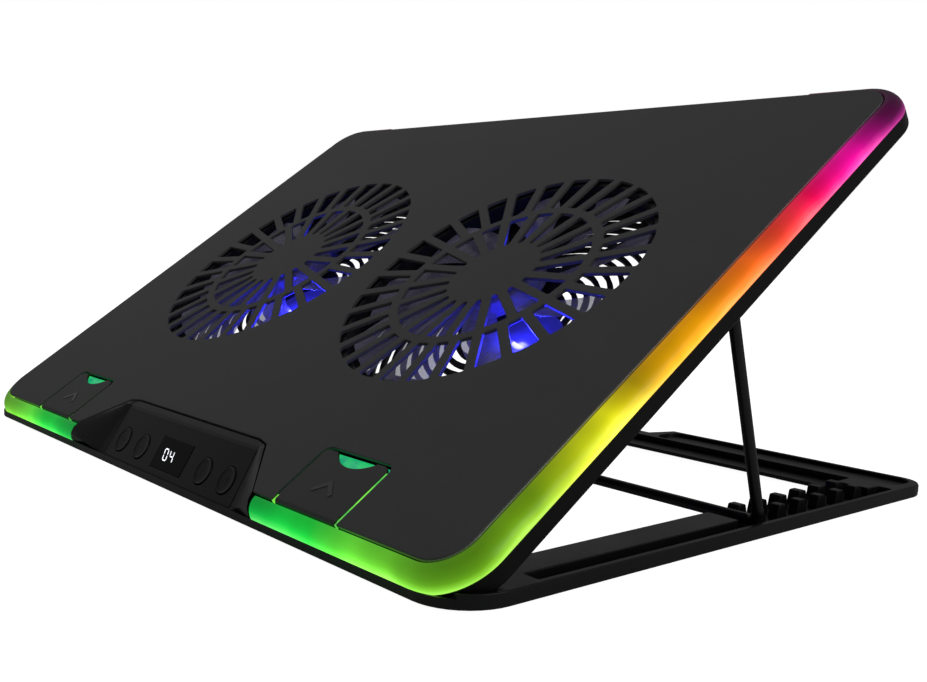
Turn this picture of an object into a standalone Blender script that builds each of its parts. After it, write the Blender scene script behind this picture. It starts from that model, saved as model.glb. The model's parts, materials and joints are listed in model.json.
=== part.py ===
"""A laptop cooling pad: a slim tilting deck with two fans, on a base frame with height notches.

The deck is drawn lying flat in its own frame, x to the right, y from the plate's front edge to
the back and z up from the plate's top, and an empty tilts it about the hinge at the front.
"""

import math

import bmesh
import bpy
from mathutils import Matrix, Vector

# Deck: the top plate and the shell that stands out round it
TILT = math.radians(34.7)
PLATE_WIDTH = 0.380
PLATE_DEPTH = 0.270
PLATE_CORNER = 0.0135
PLATE_THICK = 0.0016
RIM_OUT = 0.0069
RIM_DROP = 0.0075
GUIDE_START = 0.0008
GUIDE_THICK = 0.0016
DECK_THICK = 0.0143
FLOOR_THICK = 0.0016
WALL_THICK = 0.0020
GAP = 0.0003

# Fans and the openings above and below them
FAN_X = 0.0808
FAN_Y = 0.1350
SLOT_RINGS = ((0.0210, 0.0437, 20, 0.5), (0.0480, 0.0709, 30, 0.0))
BAR_WIDTH = 0.0043
VENT_CENTRE = (0.0184, -0.0136)
VENT_FIRST = 0.0228
VENT_PITCH = 0.0049
VENT_RINGS = 13
VENT_WIDTH = 0.0028
VENT_REACH = (0.0235, 0.0655)
VENT_RIB = 0.0024
FRAME_OUTER = 0.0715
FRAME_INNER = 0.0688
HUB_RADIUS = 0.0200
BLADE_TIP = 0.0662
BLADE_COUNT = 9

# Control panel: an inset face that slopes down towards the front
PANEL_SLOPE = math.radians(24.4)
PANEL_ROW = (0.0040, -0.0073)
PANEL_HALF = 0.0580
PANEL_UP = 0.0148
PANEL_DOWN = 0.0093
BEZEL_BACK = (0.0540, 0.0219)
BEZEL_SHOULDER = (0.0610, 0.0204)
BEZEL_FRONT = (0.0812, 0.0)
BEZEL_CHEEK = (0.0850, -0.0045)
BEZEL_LIP = (0.0800, -0.0072)
BUTTON_XS = (-0.0478, -0.0287, 0.0287, 0.0478)
BUTTON_RADIUS = 0.0057
BUTTON_HOLE = 0.0060
WINDOW_SIZE = (0.0280, 0.0150)
WINDOW_UP = 0.0010

# Stopper flaps that keep the laptop from sliding off
STOPPER_X = 0.1142
STOPPER_RECESS = (0.0203, 0.0282)
STOPPER_GAP = 0.0013
STOPPER_AXIS = (0.0012, -0.0015)
STOPPER_THICK = 0.0014

# Base frame, its notches and the wire prop that stands in them
BASE_HALF = 0.1980
BASE_BACK = 0.2565
BASE_BOTTOM = 0.0012
BASE_TOP = 0.0061
BASE_INNER = 0.1748
BASE_OPENING_Y = (0.0340, 0.2240)
LANE_X = (0.1888, 0.1954)
LANE_FLOOR = 0.0023
TOOTH_FIRST = 0.1510
TOOTH_PITCH = 0.0132
TOOTH_COUNT = 6
TOOTH_ROWS = ((0.1748, 0.1800), (0.1842, 0.1884))
TOOTH_TOP = 0.0078
LIP_TOP = 0.0045
LIP_END = 0.0030
BASE_NOTCH = (0.0560, 0.0610, 0.2430)
WALL_DEPTH = 0.0026
RIDGE_Y = (0.2352, 0.2372)
APRON_TOP = 0.0032
TROUGH_TOP = 0.0044
HINGE_Y = 0.0165
HINGE_Z = 0.0074
HINGE_DECK = (0.0101, -0.0144)
HINGE_X = 0.1300
PROP_Y = 0.1450
PROP_Z = 0.0048
PROP_X = 0.1916
PROP_LENGTH = 0.0815
PROP_LEAN = math.radians(15.9)
PROP_RADIUS = 0.0022

PARTS = "laptop_cooling_pad"
CUTTERS = "cutters"

MATERIALS = {
    # name: (colour, roughness, metallic, emission strength)
    "plate_black": ((0.030, 0.030, 0.032), 0.45, 0.6, 0.0),
    "shell_black": ((0.012, 0.012, 0.013), 0.40, 0.0, 0.0),
    "panel_gloss": ((0.010, 0.010, 0.012), 0.18, 0.0, 0.0),
    "window_gloss": ((0.003, 0.003, 0.004), 0.06, 0.0, 0.0),
    "guide_glow": ((0.45, 0.80, 0.10), 0.30, 0.0, 1.0),
    "stopper_glow": ((0.05, 0.80, 0.15), 0.30, 0.0, 1.0),
    "fan_smoke": ((0.16, 0.16, 0.20), 0.20, 0.0, 0.0),
    "fan_black": ((0.015, 0.015, 0.016), 0.45, 0.0, 0.0),
    "led_blue": ((0.05, 0.08, 0.90), 0.30, 0.0, 2.0),
    "led_strip": ((0.75, 0.75, 0.72), 0.40, 0.0, 0.0),
    "board_green": ((0.02, 0.16, 0.06), 0.50, 0.0, 0.0),
    "steel": ((0.55, 0.56, 0.58), 0.28, 1.0, 0.0),
    "prop_black": ((0.014, 0.014, 0.015), 0.35, 0.4, 0.0),
    "rubber": ((0.018, 0.018, 0.018), 0.80, 0.0, 0.0),
    "digit_white": ((0.90, 0.92, 0.95), 0.30, 0.0, 1.5),
    "cable_black": ((0.012, 0.012, 0.012), 0.50, 0.0, 0.0),
}


def clear_scene():
    """Removes whatever the file held."""
    for found in list(bpy.data.objects):
        bpy.data.objects.remove(found)


def make_collections():
    """Adds the collection of the parts and the hidden one of their cutters."""
    for name in (PARTS, CUTTERS):
        bpy.context.scene.collection.children.link(bpy.data.collections.new(name))
    bpy.data.collections[CUTTERS].hide_render = True


def material(name):
    """The Principled material of this name, made on its first use."""
    found = bpy.data.materials.get(name)
    if found:
        return found
    colour, rough, metal, glow = MATERIALS[name]
    made = bpy.data.materials.new(name)
    made.use_nodes = True
    shader = made.node_tree.nodes["Principled BSDF"]
    shader.inputs["Base Color"].default_value = (*colour, 1.0)
    shader.inputs["Roughness"].default_value = rough
    shader.inputs["Metallic"].default_value = metal
    shader.inputs["Emission Color"].default_value = (*colour, 1.0)
    shader.inputs["Emission Strength"].default_value = glow
    return made


def empty(name, location, rotation, parent=None):
    """An empty that places the pieces parented to it."""
    made = bpy.data.objects.new(name, None)
    made.location = location
    made.rotation_euler = rotation
    made.parent = parent
    bpy.data.collections[PARTS].objects.link(made)
    return made


def add_object(name, mesh, parent, finish=None, matrix=None):
    """Puts a closed mesh in the scene, facing out. Without a finish it is a cutter or a joined piece."""
    work = bmesh.new()
    work.from_mesh(mesh)
    bmesh.ops.remove_doubles(work, verts=work.verts, dist=1e-6)
    bmesh.ops.recalc_face_normals(work, faces=work.faces)
    work.to_mesh(mesh)
    work.free()
    made = bpy.data.objects.new(name, mesh)
    made.parent = parent
    if matrix is not None:
        made.matrix_local = matrix
    if finish:
        mesh.materials.append(material(finish))
        mesh.shade_smooth()
        mesh.set_sharp_from_angle(angle=math.radians(35))
        bpy.data.collections[PARTS].objects.link(made)
        return made
    made.hide_render = True
    made.display_type = "WIRE"
    bpy.data.collections[CUTTERS].objects.link(made)
    return made


def combine(target, other, operation):
    """Cuts the other object from the target, or joins it on."""
    change = target.modifiers.new(f"{operation.lower()}_{other.name}", "BOOLEAN")
    change.operation = operation
    change.solver = "EXACT"
    change.object = other


def cut(target, *others):
    for other in others:
        combine(target, other, "DIFFERENCE")


def join(target, *others):
    for other in others:
        combine(target, other, "UNION")


def bevel(target, width, segments=2):
    """Rounds a piece's sharp edges."""
    change = target.modifiers.new("edges", "BEVEL")
    change.width = width
    change.segments = segments
    change.limit_method = "ANGLE"
    change.angle_limit = math.radians(50)


def mesh_of(curve_object):
    """The mesh that Blender makes of a curve object, which is then removed."""
    bpy.context.scene.collection.objects.link(curve_object)
    graph = bpy.context.evaluated_depsgraph_get()
    mesh = bpy.data.meshes.new_from_object(curve_object.evaluated_get(graph))
    bpy.data.objects.remove(curve_object)
    return mesh


def add_spline(curve, points, cyclic):
    """Adds straight-sided points to a curve."""
    spline = curve.splines.new("POLY")
    spline.points.add(len(points) - 1)
    for slot, point in zip(spline.points, points):
        slot.co = (point[0], point[1], point[2] if len(point) > 2 else 0.0, 1.0)
    spline.use_cyclic_u = cyclic


def plate(name, loops, low, high, parent, finish=None, matrix=None):
    """A flat piece between two heights: the first loop is its outline and the others are holes."""
    curve = bpy.data.curves.new(name, "CURVE")
    curve.dimensions = "2D"
    curve.fill_mode = "BOTH"
    curve.extrude = (high - low) / 2
    for loop in loops:
        add_spline(curve, loop, True)
    mesh = mesh_of(bpy.data.objects.new(name, curve))
    mesh.transform(Matrix.Translation((0, 0, (high + low) / 2)))
    return add_object(name, mesh, parent, finish, matrix)


def sweep(name, profile, path, parent, finish=None, cyclic=False):
    """A section, given as (outward, up) points, carried along a flat path."""
    section = bpy.data.curves.new(name + "_section", "CURVE")
    section.dimensions = "2D"
    add_spline(section, [(out, up) for out, up in profile], True)
    section_object = bpy.data.objects.new(name + "_section", section)
    curve = bpy.data.curves.new(name, "CURVE")
    curve.dimensions = "2D"
    curve.bevel_mode = "OBJECT"
    curve.bevel_object = section_object
    curve.use_fill_caps = True
    add_spline(curve, path, cyclic)
    mesh = mesh_of(bpy.data.objects.new(name, curve))
    bpy.data.objects.remove(section_object)
    return add_object(name, mesh, parent, finish)


def tube(name, points, radius, parent, finish, sides=8):
    """A round wire or cable through these points, with closed ends."""
    curve = bpy.data.curves.new(name, "CURVE")
    curve.dimensions = "3D"
    curve.bevel_depth = radius
    curve.bevel_resolution = sides // 2 - 2
    curve.use_fill_caps = True
    add_spline(curve, points, False)
    return add_object(name, mesh_of(bpy.data.objects.new(name, curve)), parent, finish)


def box(name, low, high, parent, finish=None, matrix=None):
    """A box between two corners."""
    low, high = Vector(low), Vector(high)
    work = bmesh.new()
    bmesh.ops.create_cube(work, size=1.0)
    bmesh.ops.scale(work, vec=high - low, verts=work.verts)
    bmesh.ops.translate(work, vec=(high + low) / 2, verts=work.verts)
    mesh = bpy.data.meshes.new(name)
    work.to_mesh(mesh)
    work.free()
    return add_object(name, mesh, parent, finish, matrix)


def drum(name, radius, low, high, centre, parent, finish=None, along="Z", sides=24, matrix=None):
    """A cylinder with its axis along x or z, from low to high on that axis."""
    work = bmesh.new()
    bmesh.ops.create_cone(
        work, cap_ends=True, segments=sides, radius1=radius, radius2=radius, depth=high - low
    )
    bmesh.ops.translate(work, vec=(0, 0, (low + high) / 2), verts=work.verts)
    if along == "X":
        bmesh.ops.rotate(work, matrix=Matrix.Rotation(math.pi / 2, 3, "Y"), verts=work.verts)
    bmesh.ops.translate(work, vec=centre, verts=work.verts)
    mesh = bpy.data.meshes.new(name)
    work.to_mesh(mesh)
    work.free()
    return add_object(name, mesh, parent, finish, matrix)


def turned(name, profile, parent, finish, matrix, steps=32):
    """A turned piece: a profile of (radius, height) points, top to bottom, round the z axis."""
    mesh = bpy.data.meshes.new(name)
    edges = [(i, i + 1) for i in range(len(profile) - 1)]
    mesh.from_pydata([(radius, 0, height) for radius, height in profile], edges, [])
    mesh.materials.append(material(finish))
    made = bpy.data.objects.new(name, mesh)
    made.parent = parent
    made.matrix_local = matrix
    turn = made.modifiers.new("turn", "SCREW")
    turn.steps = steps
    turn.render_steps = steps
    turn.use_merge_vertices = True
    turn.merge_threshold = 0.00001
    turn.use_smooth_shade = False
    bpy.data.collections[PARTS].objects.link(made)
    return made


def arc(centre, radius, start, end, steps):
    """Points along an arc, with its angles in degrees."""
    points = []
    for step in range(steps + 1):
        angle = math.radians(start + (end - start) * step / steps)
        points.append(
            (centre[0] + radius * math.cos(angle), centre[1] + radius * math.sin(angle))
        )
    return points


def rounded_rectangle(x0, x1, y0, y1, radius, steps=3, front_radius=None):
    """The outline of a rectangle with round corners, which may be rounder in front."""
    front = front_radius or radius
    return (
        arc((x0 + front, y0 + front), front, 180, 270, steps)
        + arc((x1 - front, y0 + front), front, 270, 360, steps)
        + arc((x1 - radius, y1 - radius), radius, 0, 90, steps)
        + arc((x0 + radius, y1 - radius), radius, 90, 180, steps)
    )


def deck_outline(offset, steps=6):
    """The plate's outline, moved outward."""
    half = PLATE_WIDTH / 2 + offset
    return rounded_rectangle(
        -half, half, -offset, PLATE_DEPTH + offset, PLATE_CORNER + offset, steps
    )


def mirrored(points):
    """The same points on the other side of the middle, kept in turning order."""
    return [(-x, y) for x, y in reversed(points)]


def plate_outline():
    """The top plate's outline, open at the front for the two stoppers and the panel."""
    half = PLATE_WIDTH / 2
    reach, depth = STOPPER_RECESS
    near, far, corner = STOPPER_X - reach, STOPPER_X + reach, 0.004
    stopper = (
        [(near, 0.0)]
        + arc((near + corner, depth - corner), corner, 180, 90, 3)
        + arc((far - corner, depth - corner), corner, 90, 0, 3)
        + [(far, 0.0)]
    )
    panel = [
        (x + GAP * 1.5, y + GAP) for x, y in (BEZEL_BACK, BEZEL_SHOULDER, BEZEL_FRONT)
    ]
    panel[-1] = (panel[-1][0], 0.0)
    right = panel + stopper + arc((half - PLATE_CORNER, PLATE_CORNER), PLATE_CORNER, 270, 360, 6)
    back = half - PLATE_CORNER
    right += arc((back, PLATE_DEPTH - PLATE_CORNER), PLATE_CORNER, 0, 90, 6)
    return right + mirrored(right)


def grille_slots(side):
    """The slots over one fan: two rings of openings between straight bars."""
    loops = []
    for inner, outer, count, shift in SLOT_RINGS:
        for index in range(count):
            middle = math.tau * (index + shift) / count
            loops.append(sector(side * FAN_X, FAN_Y, inner, outer, middle, math.tau / count))
    return loops


def sector(x, y, inner, outer, middle, pitch):
    """One slot of a ring, whose neighbours are parted by bars of one width."""
    points = []
    for radius, order in ((inner, (-1, 1)), (outer, (1, 0, -1))):
        half = pitch / 2 - math.asin(BAR_WIDTH / 2 / radius)
        for place in order:
            angle = middle + half * place
            points.append((x + radius * math.cos(angle), y + radius * math.sin(angle)))
    return points


def vent_open(x, y):
    """Whether the floor is open here, seen from the fan's centre: clear of the motor, rim and struts."""
    radius = math.hypot(x, y)
    off_strut = abs(math.degrees(math.atan2(y, x)) % 90 - 45)
    return VENT_REACH[0] < radius < VENT_REACH[1] and radius * math.radians(off_strut) > VENT_RIB


def vent_runs(radius):
    """The stretches of one ring, in degrees about the rings' own centre, where the floor is open."""
    runs, start = [], None
    for angle in range(-180, 181):
        place = math.radians(angle)
        x = VENT_CENTRE[0] + radius * math.cos(place)
        y = VENT_CENTRE[1] + radius * math.sin(place)
        if angle < 180 and vent_open(x, y):
            start = angle if start is None else start
        elif start is not None:
            if math.radians(angle - 1 - start) * radius > 0.008:
                runs.append((start, angle - 1))
            start = None
    return runs


def vent_slots(side):
    """The curved slots in the floor under one fan: arcs of rings that share an offset centre."""
    centre = (side * FAN_X + VENT_CENTRE[0], FAN_Y + VENT_CENTRE[1])
    loops = []
    for ring in range(VENT_RINGS):
        radius = VENT_FIRST + VENT_PITCH * ring
        for start, end in vent_runs(radius):
            steps = max(2, round(math.radians(end - start) * radius / 0.012))
            outer = arc(centre, radius + VENT_WIDTH / 2, start, end, steps)
            loops.append(outer + arc(centre, radius - VENT_WIDTH / 2, end, start, steps))
    return loops


def panel_matrix(x=0.0, up=0.0):
    """A frame on the panel's face: its z is the face's normal and its y runs up the slope."""
    place = Matrix.Translation((x, PANEL_ROW[0], PANEL_ROW[1]))
    return place @ Matrix.Rotation(PANEL_SLOPE, 4, "X") @ Matrix.Translation((0, up, 0))


def under_ground(name, deck):
    """What the shell's front edge would push into the table: everything below the base's underside."""
    low = (-0.3, -0.1, BASE_BOTTOM - 0.05)
    flat = box(name, low, (0.3, 0.1, BASE_BOTTOM), deck)
    flat.matrix_local = deck.matrix_basis.inverted()
    return flat


def make_top_plate(deck):
    loops = [plate_outline()] + grille_slots(-1) + grille_slots(1)
    plate("top_plate", loops, -PLATE_THICK, 0.0, deck, "plate_black")


def make_light_guides(deck):
    """The two lit rims, from the panel round the front and rear corners, and the strips behind."""
    wide, high = RIM_OUT - GUIDE_START, RIM_DROP - GUIDE_START
    outer = [(GUIDE_START + x, y - RIM_DROP) for x, y in ellipse(wide, high, 90, 0, 6)]
    inner = [
        (GUIDE_START + x, y - RIM_DROP)
        for x, y in ellipse(wide - GUIDE_THICK, high - GUIDE_THICK, 0, 90, 4)
    ]
    strip = [(0.0040, -0.0104), (0.0045, -0.0104), (0.0045, -0.0080), (0.0040, -0.0080)]
    for side, name in ((-1, "left"), (1, "right")):
        path = rim_path(side)
        sweep(name + "_light_guide", outer + inner, path, deck, "guide_glow")
        sweep(name + "_led_strip", strip, path, deck, "led_strip")


def ellipse(wide, high, start, end, steps):
    return [(x * wide, y * high) for x, y in arc((0, 0), 1.0, start, end, steps)]


def rim_path(side):
    """The plate's edge from beside the panel round to the back, walked so that outward is one way."""
    half, corner = PLATE_WIDTH / 2, PLATE_CORNER
    path = [(BEZEL_CHEEK[0] + 0.0012, 0.0)]
    path += arc((half - corner, corner), corner, 270, 360, 6)
    path += arc((half - corner, PLATE_DEPTH - corner), corner, 0, 90, 6)
    path += [(0.1504, PLATE_DEPTH)]
    return path if side > 0 else mirrored(path)


def make_bottom_shell(deck):
    """The tray under the deck: floor with vents, side walls, rear wall and screw posts."""
    wall_top = -RIM_DROP - GAP
    floor_top = FLOOR_THICK - DECK_THICK
    shell = plate(
        "bottom_shell", [deck_outline(RIM_OUT)], -DECK_THICK, wall_top, deck, "shell_black"
    )
    hollow = plate(
        "shell_hollow", [deck_outline(RIM_OUT - WALL_THICK)], floor_top, wall_top + 0.003, deck
    )
    cut(shell, hollow)
    rear = box("rear_wall", (-0.15, 0.2749, -0.0131), (0.15, 0.2768, -0.0009), deck)
    ledge = box("rear_ledge", (-0.15, 0.2706, -0.0029), (0.15, 0.2762, -0.0009), deck)
    join(rear, ledge)
    join(shell, rear)
    for index, (x, y) in enumerate(screw_places()):
        post = drum(f"post_{index}", 0.0036, floor_top - 0.0005, -0.0019, (x, y, 0), deck, sides=12)
        hole = drum(f"post_hole_{index}", 0.0012, -0.02, -0.0045, (x, y, 0), deck, sides=10)
        seat = drum(f"post_seat_{index}", 0.0029, -0.02, -0.0122, (x, y, 0), deck, sides=12)
        join(shell, post)
        cut(shell, hole, seat)
    for side, name in ((-1, "left"), (1, "right")):
        vents = plate(name + "_vents", vent_slots(side), -0.016, floor_top + 0.001, deck)
        cut(shell, vents)
        cut_prop_slot(shell, name, side, deck)
        cut_hinge_room(shell, name, side, deck)
    groove_y = PROP_Y - HINGE_Y + HINGE_DECK[0]
    groove = box(
        "crossbar_groove",
        (-0.1892, groove_y - 0.0030, -0.016),
        (0.1892, groove_y + 0.0030, 0.0009 - DECK_THICK),
        deck,
    )
    front = box("bezel_room", (-0.0855, -0.02, floor_top), (0.0855, 0.0, 0.0), deck)
    cut(shell, groove, front, under_ground("table_plane", deck))
    for x in (-0.062, -0.040):
        cut(
            shell,
            box(f"usb_room{x}", (x - 0.0070, 0.27, -0.0114), (x + 0.0070, 0.29, -0.0050), deck),
        )


def cut_prop_slot(shell, name, side, deck):
    """The openings that take the prop's leg and the base's teeth when the pad is folded."""
    fold = HINGE_DECK[0] - HINGE_Y
    leg_end = PROP_Y + PROP_LENGTH + 0.0040 + fold
    tooth_end = TOOTH_FIRST + TOOTH_PITCH * (TOOTH_COUNT - 1) + 0.0050 + fold
    spans = (
        ("leg", LANE_X[0] - 0.0002, LANE_X[1] - 0.0006, 0.1290, leg_end),
        ("tooth", BASE_INNER - 0.0010, LANE_X[0], 0.1405, tooth_end),
    )
    for kind, near, far, front, end in spans:
        xs = sorted((side * near, side * far))
        slot = box(f"{name}_{kind}_slot", (xs[0], front, -0.016), (xs[1], end, -0.0100), deck)
        cut(shell, slot)


def cut_hinge_room(shell, name, side, deck):
    """The shell's two hinge ears on one side, and the room for the base's knuckle between them."""
    centre = (side * HINGE_X, *HINGE_DECK)
    room = drum(name + "_knuckle_room", 0.0036, -0.0085, 0.0085, centre, deck, along="X", sides=20)
    cut(shell, room)
    for index, (low, high) in enumerate(((-0.016, -0.0085), (0.0085, 0.016))):
        ear = drum(f"{name}_ear_{index}", 0.0032, low, high, centre, deck, along="X", sides=20)
        join(shell, ear)
    bore = drum(name + "_ear_bore", 0.0011, -0.02, 0.02, centre, deck, along="X", sides=12)
    cut(shell, bore)


def screw_places():
    half = PLATE_WIDTH / 2
    return [
        (side * x, y)
        for side in (-1, 1)
        for x, y in ((half - 0.012, 0.042), (half - 0.012, 0.252), (0.014, 0.235))
    ]


def make_screws(deck):
    for index, (x, y) in enumerate(screw_places()):
        profile = [
            (0.0, -0.0050),
            (0.0009, -0.0054),
            (0.0009, -0.0124),
            (0.0026, -0.0124),
            (0.0026, -0.0134),
            (0.0018, -0.0139),
            (0.0, -0.0139),
        ]
        turned(
            f"case_screw_{index + 1}", profile, deck, "steel", Matrix.Translation((x, y, 0)), 12
        )


def make_control_panel(deck):
    """The bezel with its inset sloping face, window, display, board, buttons and switches."""
    right = [BEZEL_BACK, BEZEL_SHOULDER, BEZEL_FRONT, BEZEL_CHEEK, BEZEL_LIP]
    outline = mirrored(right) + right
    bottom = FLOOR_THICK - DECK_THICK + GAP
    bezel = plate("control_bezel", [outline[::-1]], bottom, 0.002, deck, "panel_gloss")
    top_slope = math.atan2(0.0088, BEZEL_BACK[1] - BEZEL_LIP[1])
    over = box("bezel_top", (-0.1, -0.08, 0.0), (0.1, 0.08, 0.03), deck)
    over.matrix_local = Matrix.Translation((0, BEZEL_BACK[1], -0.0003)) @ Matrix.Rotation(
        top_slope, 4, "X"
    )
    face = panel_matrix()
    inset = box(
        "face_inset",
        (-PANEL_HALF, -PANEL_DOWN, 0.0),
        (PANEL_HALF, PANEL_UP, 0.02),
        deck,
        matrix=face,
    )
    hollow = box("face_hollow", (-0.0560, -0.0062, -0.03), (0.0560, 0.0120, -0.0013), deck)
    hollow.matrix_local = face
    mouth = box("cable_mouth", (-0.0065, 0.0050, -0.0140), (0.0065, 0.0300, -0.0100), deck)
    cut(bezel, over, inset, hollow, mouth, under_ground("table_plane_bezel", deck))
    wide, tall = WINDOW_SIZE
    opening = box(
        "window_opening",
        (-wide / 2, WINDOW_UP - tall / 2, -0.005),
        (wide / 2, WINDOW_UP + tall / 2, 0.005),
        deck,
        matrix=face,
    )
    cut(bezel, opening)
    box(
        "display_window",
        (GAP - wide / 2, WINDOW_UP + GAP - tall / 2, -0.0010),
        (wide / 2 - GAP, WINDOW_UP + tall / 2 - GAP, -0.0001),
        deck,
        "window_gloss",
        face,
    )
    box("display_module", (-0.0095, -0.0028, -0.0031), (0.0095, 0.0068, -0.0014), deck, "digit_white", face)
    box("control_board", (-0.0540, -0.0029, -0.0043), (0.0540, 0.0110, -0.0034), deck, "board_green", face)
    for index, x in enumerate(BUTTON_XS):
        cut(bezel, drum(f"button_hole_{index}", BUTTON_HOLE, -0.005, 0.005, (x, 0, 0), deck, matrix=face))
        place = panel_matrix(x)
        drum(f"button_{index + 1}", BUTTON_RADIUS, -0.0018, -0.0002, (0, 0, 0), deck, "panel_gloss", matrix=place)
        box(
            f"button_switch_{index + 1}",
            (-0.0015, -0.0015, -0.0032),
            (0.0015, 0.0015, -0.0024),
            deck,
            "fan_black",
            place,
        )


def stopper_outline():
    """One flap: round rear corners and an arc cut in its rear edge for a thumb."""
    reach = STOPPER_RECESS[0] - STOPPER_GAP
    back = STOPPER_RECESS[1] - STOPPER_GAP
    front = STOPPER_AXIS[0] - 0.0004
    corner, notch_half, notch_deep = 0.003, 0.0120, 0.0050
    radius = (notch_half**2 + notch_deep**2) / 2 / notch_deep
    spread = math.degrees(math.asin(notch_half / radius))
    right = [(reach - 0.0008, front), (reach - 0.0008, 0.0030), (reach, 0.0034)]
    right += arc((reach - corner, back - corner), corner, 0, 90, 3)
    notch = arc((0, back - notch_deep + radius), radius, 270 + spread, 270 - spread, 6)
    return right + notch + mirrored(right)


def make_stoppers(deck):
    """The flaps with their pins, and the lit plates under them that carry the pins."""
    reach = STOPPER_RECESS[0] - STOPPER_GAP
    axis_y, axis_z = STOPPER_AXIS
    for side, name in ((-1, "left"), (1, "right")):
        hinge = empty(name + "_stopper_hinge", (side * STOPPER_X, axis_y, axis_z), (0, 0, 0), deck)
        outline = [(x, y - axis_y) for x, y in stopper_outline()]
        flap = plate(
            name + "_stopper", [outline], -axis_z - STOPPER_THICK, -axis_z, hinge, "plate_black"
        )
        half = reach - 0.0010
        barrel = drum(name + "_barrel", 0.00138, -half, half, (0, 0, 0), hinge, along="X", sides=16)
        bore = drum(name + "_bore", 0.0008, -0.03, 0.03, (0, 0, 0), hinge, along="X", sides=12)
        join(flap, barrel)
        cut(flap, bore)
        pin_half = reach + 0.0008
        drum(
            name + "_stopper_pin", 0.0007, -pin_half, pin_half, (0, 0, 0), hinge, "steel", "X", 12
        )
        back = STOPPER_RECESS[1] - 0.0003 - axis_y
        glow = box(
            name + "_stopper_light",
            (-reach - 0.0009, 0.0020, -0.0022),
            (reach + 0.0009, back, -0.0010),
            hinge,
            "stopper_glow",
        )
        for index, sign in enumerate((-1, 1)):
            xs = sorted((sign * (reach - 0.0004), sign * (reach + 0.0008)))
            ear = box(f"{name}_light_ear_{index}", (xs[0], -0.0013, -0.0021), (xs[1], 0.0015, 0.0010), hinge)
            link = box(f"{name}_light_link_{index}", (xs[0], 0.0010, -0.0021), (xs[1], 0.0030, -0.0011), hinge)
            join(ear, link)
            join(glow, ear)
        cut(glow, drum(name + "_light_bore", 0.0008, -0.03, 0.03, (0, 0, 0), hinge, along="X", sides=12))


def blade_patch(work, index):
    """One open, twisted blade surface."""
    rows = []
    start = math.tau * index / BLADE_COUNT
    for step in range(4):
        along = step / 3
        radius = HUB_RADIUS - 0.0012 + (BLADE_TIP - HUB_RADIUS + 0.0012) * along
        sweep_angle = start + math.radians(26) * along
        chord = math.radians(27 - 4 * along)
        row = []
        for place in (-0.5, 0.0, 0.5):
            angle = sweep_angle + chord * place
            height = -0.0067 - 0.0052 * place + 0.0006 * (1 - 4 * place * place)
            row.append(work.verts.new((radius * math.cos(angle), radius * math.sin(angle), height)))
        rows.append(row)
    for first, second in zip(rows, rows[1:]):
        for column in range(2):
            work.faces.new((first[column], second[column], second[column + 1], first[column + 1]))


def make_fans(deck):
    """Each fan: a ring frame with four struts, a motor with its shaft, the rotor and a light."""
    for side, name in ((-1, "left"), (1, "right")):
        centre = Matrix.Translation((side * FAN_X, FAN_Y, 0))
        ring = [arc((0, 0), radius, 0, 352.5, 47) for radius in (FRAME_OUTER, FRAME_INNER)]
        frame = plate(name + "_fan_frame", ring, -0.0124, -0.0022, deck, "fan_black", centre)
        spider = plate(
            name + "_spider", [arc((0, 0), 0.0702, 3.75, 356.25, 47)] + spider_holes(), -0.0123, -0.0114, deck
        )
        spider.matrix_local = centre
        join(frame, spider)
        motor = [
            (0.0, -0.0062),
            (0.0015, -0.0062),
            (0.0015, -0.0094),
            (0.0040, -0.0094),
            (0.0040, -0.0064),
            (0.0155, -0.0064),
            (0.0155, -0.0111),
            (0.0, -0.0111),
        ]
        turned(name + "_fan_motor", motor, deck, "fan_black", centre, 24)
        hub = [
            (0.0, -0.0032),
            (0.0185, -0.0032),
            (HUB_RADIUS, -0.0043),
            (HUB_RADIUS, -0.0104),
            (0.0183, -0.0104),
            (0.0183, -0.0049),
            (0.0034, -0.0049),
            (0.0034, -0.0084),
            (0.0016, -0.0084),
            (0.0016, -0.0057),
            (0.0, -0.0057),
        ]
        rotor = turned(name + "_fan_rotor", hub, deck, "fan_smoke", centre, 24)
        work = bmesh.new()
        for index in range(BLADE_COUNT):
            blade_patch(work, index)
        blades = bpy.data.meshes.new(name + "_blades")
        work.to_mesh(blades)
        work.free()
        fins = bpy.data.objects.new(name + "_blades", blades)
        fins.parent = deck
        fins.matrix_local = centre
        fins.hide_render = True
        fins.display_type = "WIRE"
        bpy.data.collections[CUTTERS].objects.link(fins)
        thick = fins.modifiers.new("thickness", "SOLIDIFY")
        thick.thickness = 0.0011
        thick.offset = 0.0
        join(rotor, fins)
        lamp = box(name + "_fan_light", (-0.005, -0.004, -0.0111), (0.005, 0.004, -0.0107), deck, "led_blue")
        lens = drum(name + "_lens", 0.0022, -0.0109, -0.0104, (0, 0, 0), deck, sides=12)
        spot = centre @ Matrix.Rotation(math.radians(-45), 4, "Z") @ Matrix.Translation((0.046, 0, 0))
        lamp.matrix_local = spot
        lens.matrix_local = spot
        join(lamp, lens)


def spider_holes():
    """The four openings between a fan frame's struts."""
    loops = []
    for index in range(4):
        middle = 90 * index
        inner = arc((0, 0), 0.0190, middle + 36, middle - 36, 4)
        outer = arc((0, 0), 0.0660, middle - 41, middle + 41, 8)
        loops.append(inner + outer)
    return loops


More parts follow.
